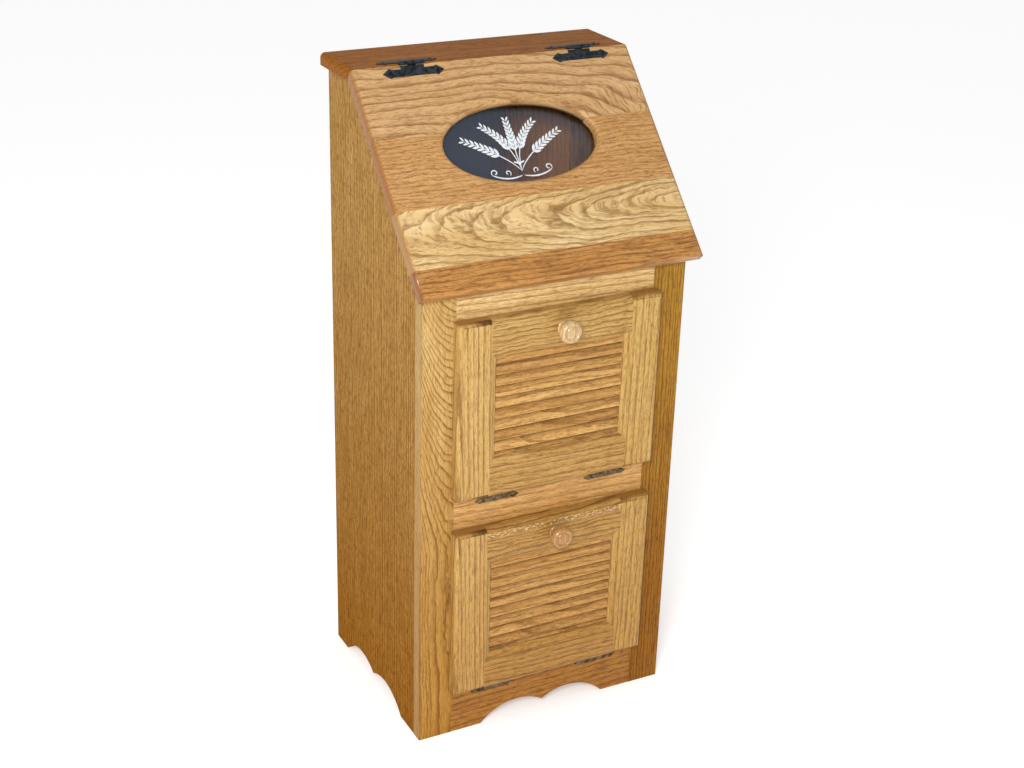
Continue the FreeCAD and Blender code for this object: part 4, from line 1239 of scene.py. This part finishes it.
class CABINET_OT_wheat(BuildStep, bpy.types.Operator):
    """White wheat sheaf and scrolls painted on the pane"""
    bl_idname = "cabinet.wheat"
    bl_label = "Wheat"

    def execute(self, context):
        s = context.scene.cabinet_window
        lines = []
        for middle, end in STEM_BENDS:
            for side in ((1, -1) if end[0] else (1,)):
                points = [(x * side * MM, y * MM) for x, y in (SHEAF_FOOT, middle, end)]
                lines.append(bend(*points))
        stems = bmesh.new()
        for line in lines:
            row = [stems.verts.new((p.x, p.y, 0)) for p in line]
            for one, two in zip(row, row[1:]):
                stems.edges.new((one, two))
        carrier = to_mesh("stems", stems, turn_out=False)
        pair = placed("grain_pair", grain_pair(s.grain_length, PAINT_THICK))
        paint = self.paint(s)
        inputs = {"Grains": pair, "Pairs": s.pairs, "Bare Share": BARE_SHARE, "Tip Size": TIP_SIZE,
                  "Paint": paint}
        ears = grown("wheat", carrier, wheat_tree(), inputs)
        bpy.data.objects.remove(pair)
        bm = bmesh.new()
        bm.from_mesh(ears)
        for line in lines:
            stroke(bm, line, 1.5 * MM, PAINT_THICK * 0.9)
        for side in (-1, 1):
            sweep = bend((side * 2 * MM, -47 * MM), (side * 26 * MM, -54 * MM), (side * 46 * MM, -42 * MM))
            tip = curl((side * 42 * MM, -38.5 * MM), 5.4 * MM, radians(90 - side * 130),
                       side * radians(330))
            stroke(bm, sweep, 2.4 * MM, PAINT_THICK * 0.8)
            stroke(bm, tip, 1.8 * MM, PAINT_THICK * 0.7)
            small = curl((side * 22 * MM, -41 * MM), 4.6 * MM, radians(90 + side * 150),
                         -side * radians(320))
            stroke(bm, small, 1.6 * MM, PAINT_THICK * 0.6)
        stroke(bm, bend((-8 * MM, -25 * MM), (0, -30 * MM), (8 * MM, -25 * MM)), 3 * MM, PAINT_THICK)
        place = SEAM + DOWN_LID * s.centre + OUT_OF_LID * (PAINT_LIFT - s.recess) + ACROSS * s.aside
        turn = Matrix((ACROSS, -DOWN_LID, OUT_OF_LID)).transposed().to_4x4()
        bmesh.ops.transform(bm, matrix=Matrix.Translation(place) @ turn, verts=bm.verts)
        finish_piece("painted_wheat", to_mesh("painted_wheat", bm), paint, "lid")
        return {"FINISHED"}

    def paint(self, s):
        """White paint, worn thin in small spots."""
        material, g, shader = fresh_material("White paint")
        place = g.node("ShaderNodeTexCoord").outputs["Object"]
        thin = g.noise(place, 420.0, 4.0, 2.0)
        worn = tuple(c * PAINT_WORN for c in s.paint[:3]) + (1.0,)
        g.put(shader.inputs["Base Color"], g.mix(g.span(thin, 0.38, 0.60), worn, tuple(s.paint)))
        g.put(shader.inputs["Roughness"], g.span(thin, 0.3, 0.7, 0.40, 0.62))
        g.bump(shader, thin, 0.15, 0.0001)
        return material


# ---- studio --------------------------------------------------------------------------------

FLOOR_RADIUS = 14.0
FLOOR_DROP = 0.0005
FLOOR_ROUGH = 0.9
KEY_TARGET = Vector((0, 0, 0.55))
OVERHEAD_SPREAD = radians(70)


class CABINET_OT_stage(BuildStep, bpy.types.Operator):
    """Pale floor, soft light and the camera"""
    bl_idname = "cabinet.stage"
    bl_label = "Stage"

    def execute(self, context):
        s = context.scene.cabinet_stage
        scene = context.scene
        bm = bmesh.new()
        bmesh.ops.create_circle(bm, cap_ends=True, segments=96, radius=FLOOR_RADIUS)
        bmesh.ops.translate(bm, verts=bm.verts, vec=(0, 0, -FLOOR_DROP))
        mesh = to_mesh("studio_floor", bm, turn_out=False)
        floor = placed("studio_floor", mesh)
        material, _, shader = fresh_material("Studio floor")
        shader.inputs["Base Color"].default_value = tuple(s.floor)
        shader.inputs["Roughness"].default_value = FLOOR_ROUGH
        shader.inputs["Emission Color"].default_value = (1, 1, 1, 1)
        shader.inputs["Emission Strength"].default_value = s.floor_glow
        mesh.materials.append(material)

        world = bpy.data.worlds.new("Studio")
        world.use_nodes = True
        world.node_tree.nodes["Background"].inputs["Color"].default_value = (1, 1, 1, 1)
        world.node_tree.nodes["Background"].inputs["Strength"].default_value = s.sky
        scene.world = world
        key = bpy.data.lights.new("key", "AREA")
        key.shape = "DISK"
        key.size = s.key_size
        key.energy = s.key_power
        lamp = placed("key", key)
        lamp.location = s.key_place
        lamp.rotation_euler = (KEY_TARGET - Vector(s.key_place)).to_track_quat("-Z", "Y").to_euler()
        sun = bpy.data.lights.new("overhead", "SUN")
        sun.energy = s.overhead
        sun.angle = OVERHEAD_SPREAD
        placed("overhead", sun)
        scene.view_settings.view_transform = "Standard"

        lens = bpy.data.cameras.new("camera")
        lens.lens = s.lens
        lens.sensor_width = 36
        camera = placed("camera", lens)
        forward = Vector((-sin(s.azimuth) * cos(s.elevation), cos(s.azimuth) * cos(s.elevation),
                          -sin(s.elevation)))
        right = forward.cross(UP).normalized()
        up = right.cross(forward)
        leaned_right = right * cos(s.roll) + up * sin(s.roll)
        leaned_up = -right * sin(s.roll) + up * cos(s.roll)
        turn = Matrix((leaned_right, leaned_up, -forward)).transposed()
        camera.matrix_world = Matrix.Translation(s.camera) @ turn.to_4x4()
        scene.camera = camera
        return {"FINISHED"}


# ---- panel and registration -----------------------------------------------------------------

STEPS = (CABINET_OT_case, CABINET_OT_lid, CABINET_OT_doors, CABINET_OT_inside,
         CABINET_OT_louvers, CABINET_OT_knobs, CABINET_OT_hinges, CABINET_OT_fasteners,
         CABINET_OT_window, CABINET_OT_wheat, CABINET_OT_stage)
SETTINGS = {"cabinet_wood": WoodSettings, "cabinet_louvers": LouverSettings,
            "cabinet_hardware": HardwareSettings, "cabinet_window": WindowSettings,
            "cabinet_stage": StageSettings}


class CABINET_PT_panel(bpy.types.Panel):
    """The steps in order, with the sizes and colours they read"""
    bl_idname = "CABINET_PT_panel"
    bl_label = "Bin cabinet"
    bl_space_type = "VIEW_3D"
    bl_region_type = "UI"
    bl_category = "Bin cabinet"

    def draw(self, context):
        for name, kind in SETTINGS.items():
            box = self.layout.box()
            box.label(text=kind.__name__.replace("Settings", ""))
            for key in kind.__annotations__:
                box.prop(getattr(context.scene, name), key)
        for step in STEPS:
            self.layout.operator(step.bl_idname)


CLASSES = tuple(SETTINGS.values()) + STEPS + (CABINET_PT_panel,)


def register():
    for kind in CLASSES:
        bpy.utils.register_class(kind)
    for name, kind in SETTINGS.items():
        setattr(bpy.types.Scene, name, bpy.props.PointerProperty(type=kind))


def unregister():
    for name in SETTINGS:
        delattr(bpy.types.Scene, name)
    for kind in reversed(CLASSES):
        bpy.utils.unregister_class(kind)


def main():
    register()
    for step in STEPS:
        family, action = step.bl_idname.split(".")
        getattr(getattr(bpy.ops, family), action)()


if __name__ == "__main__":
    main()
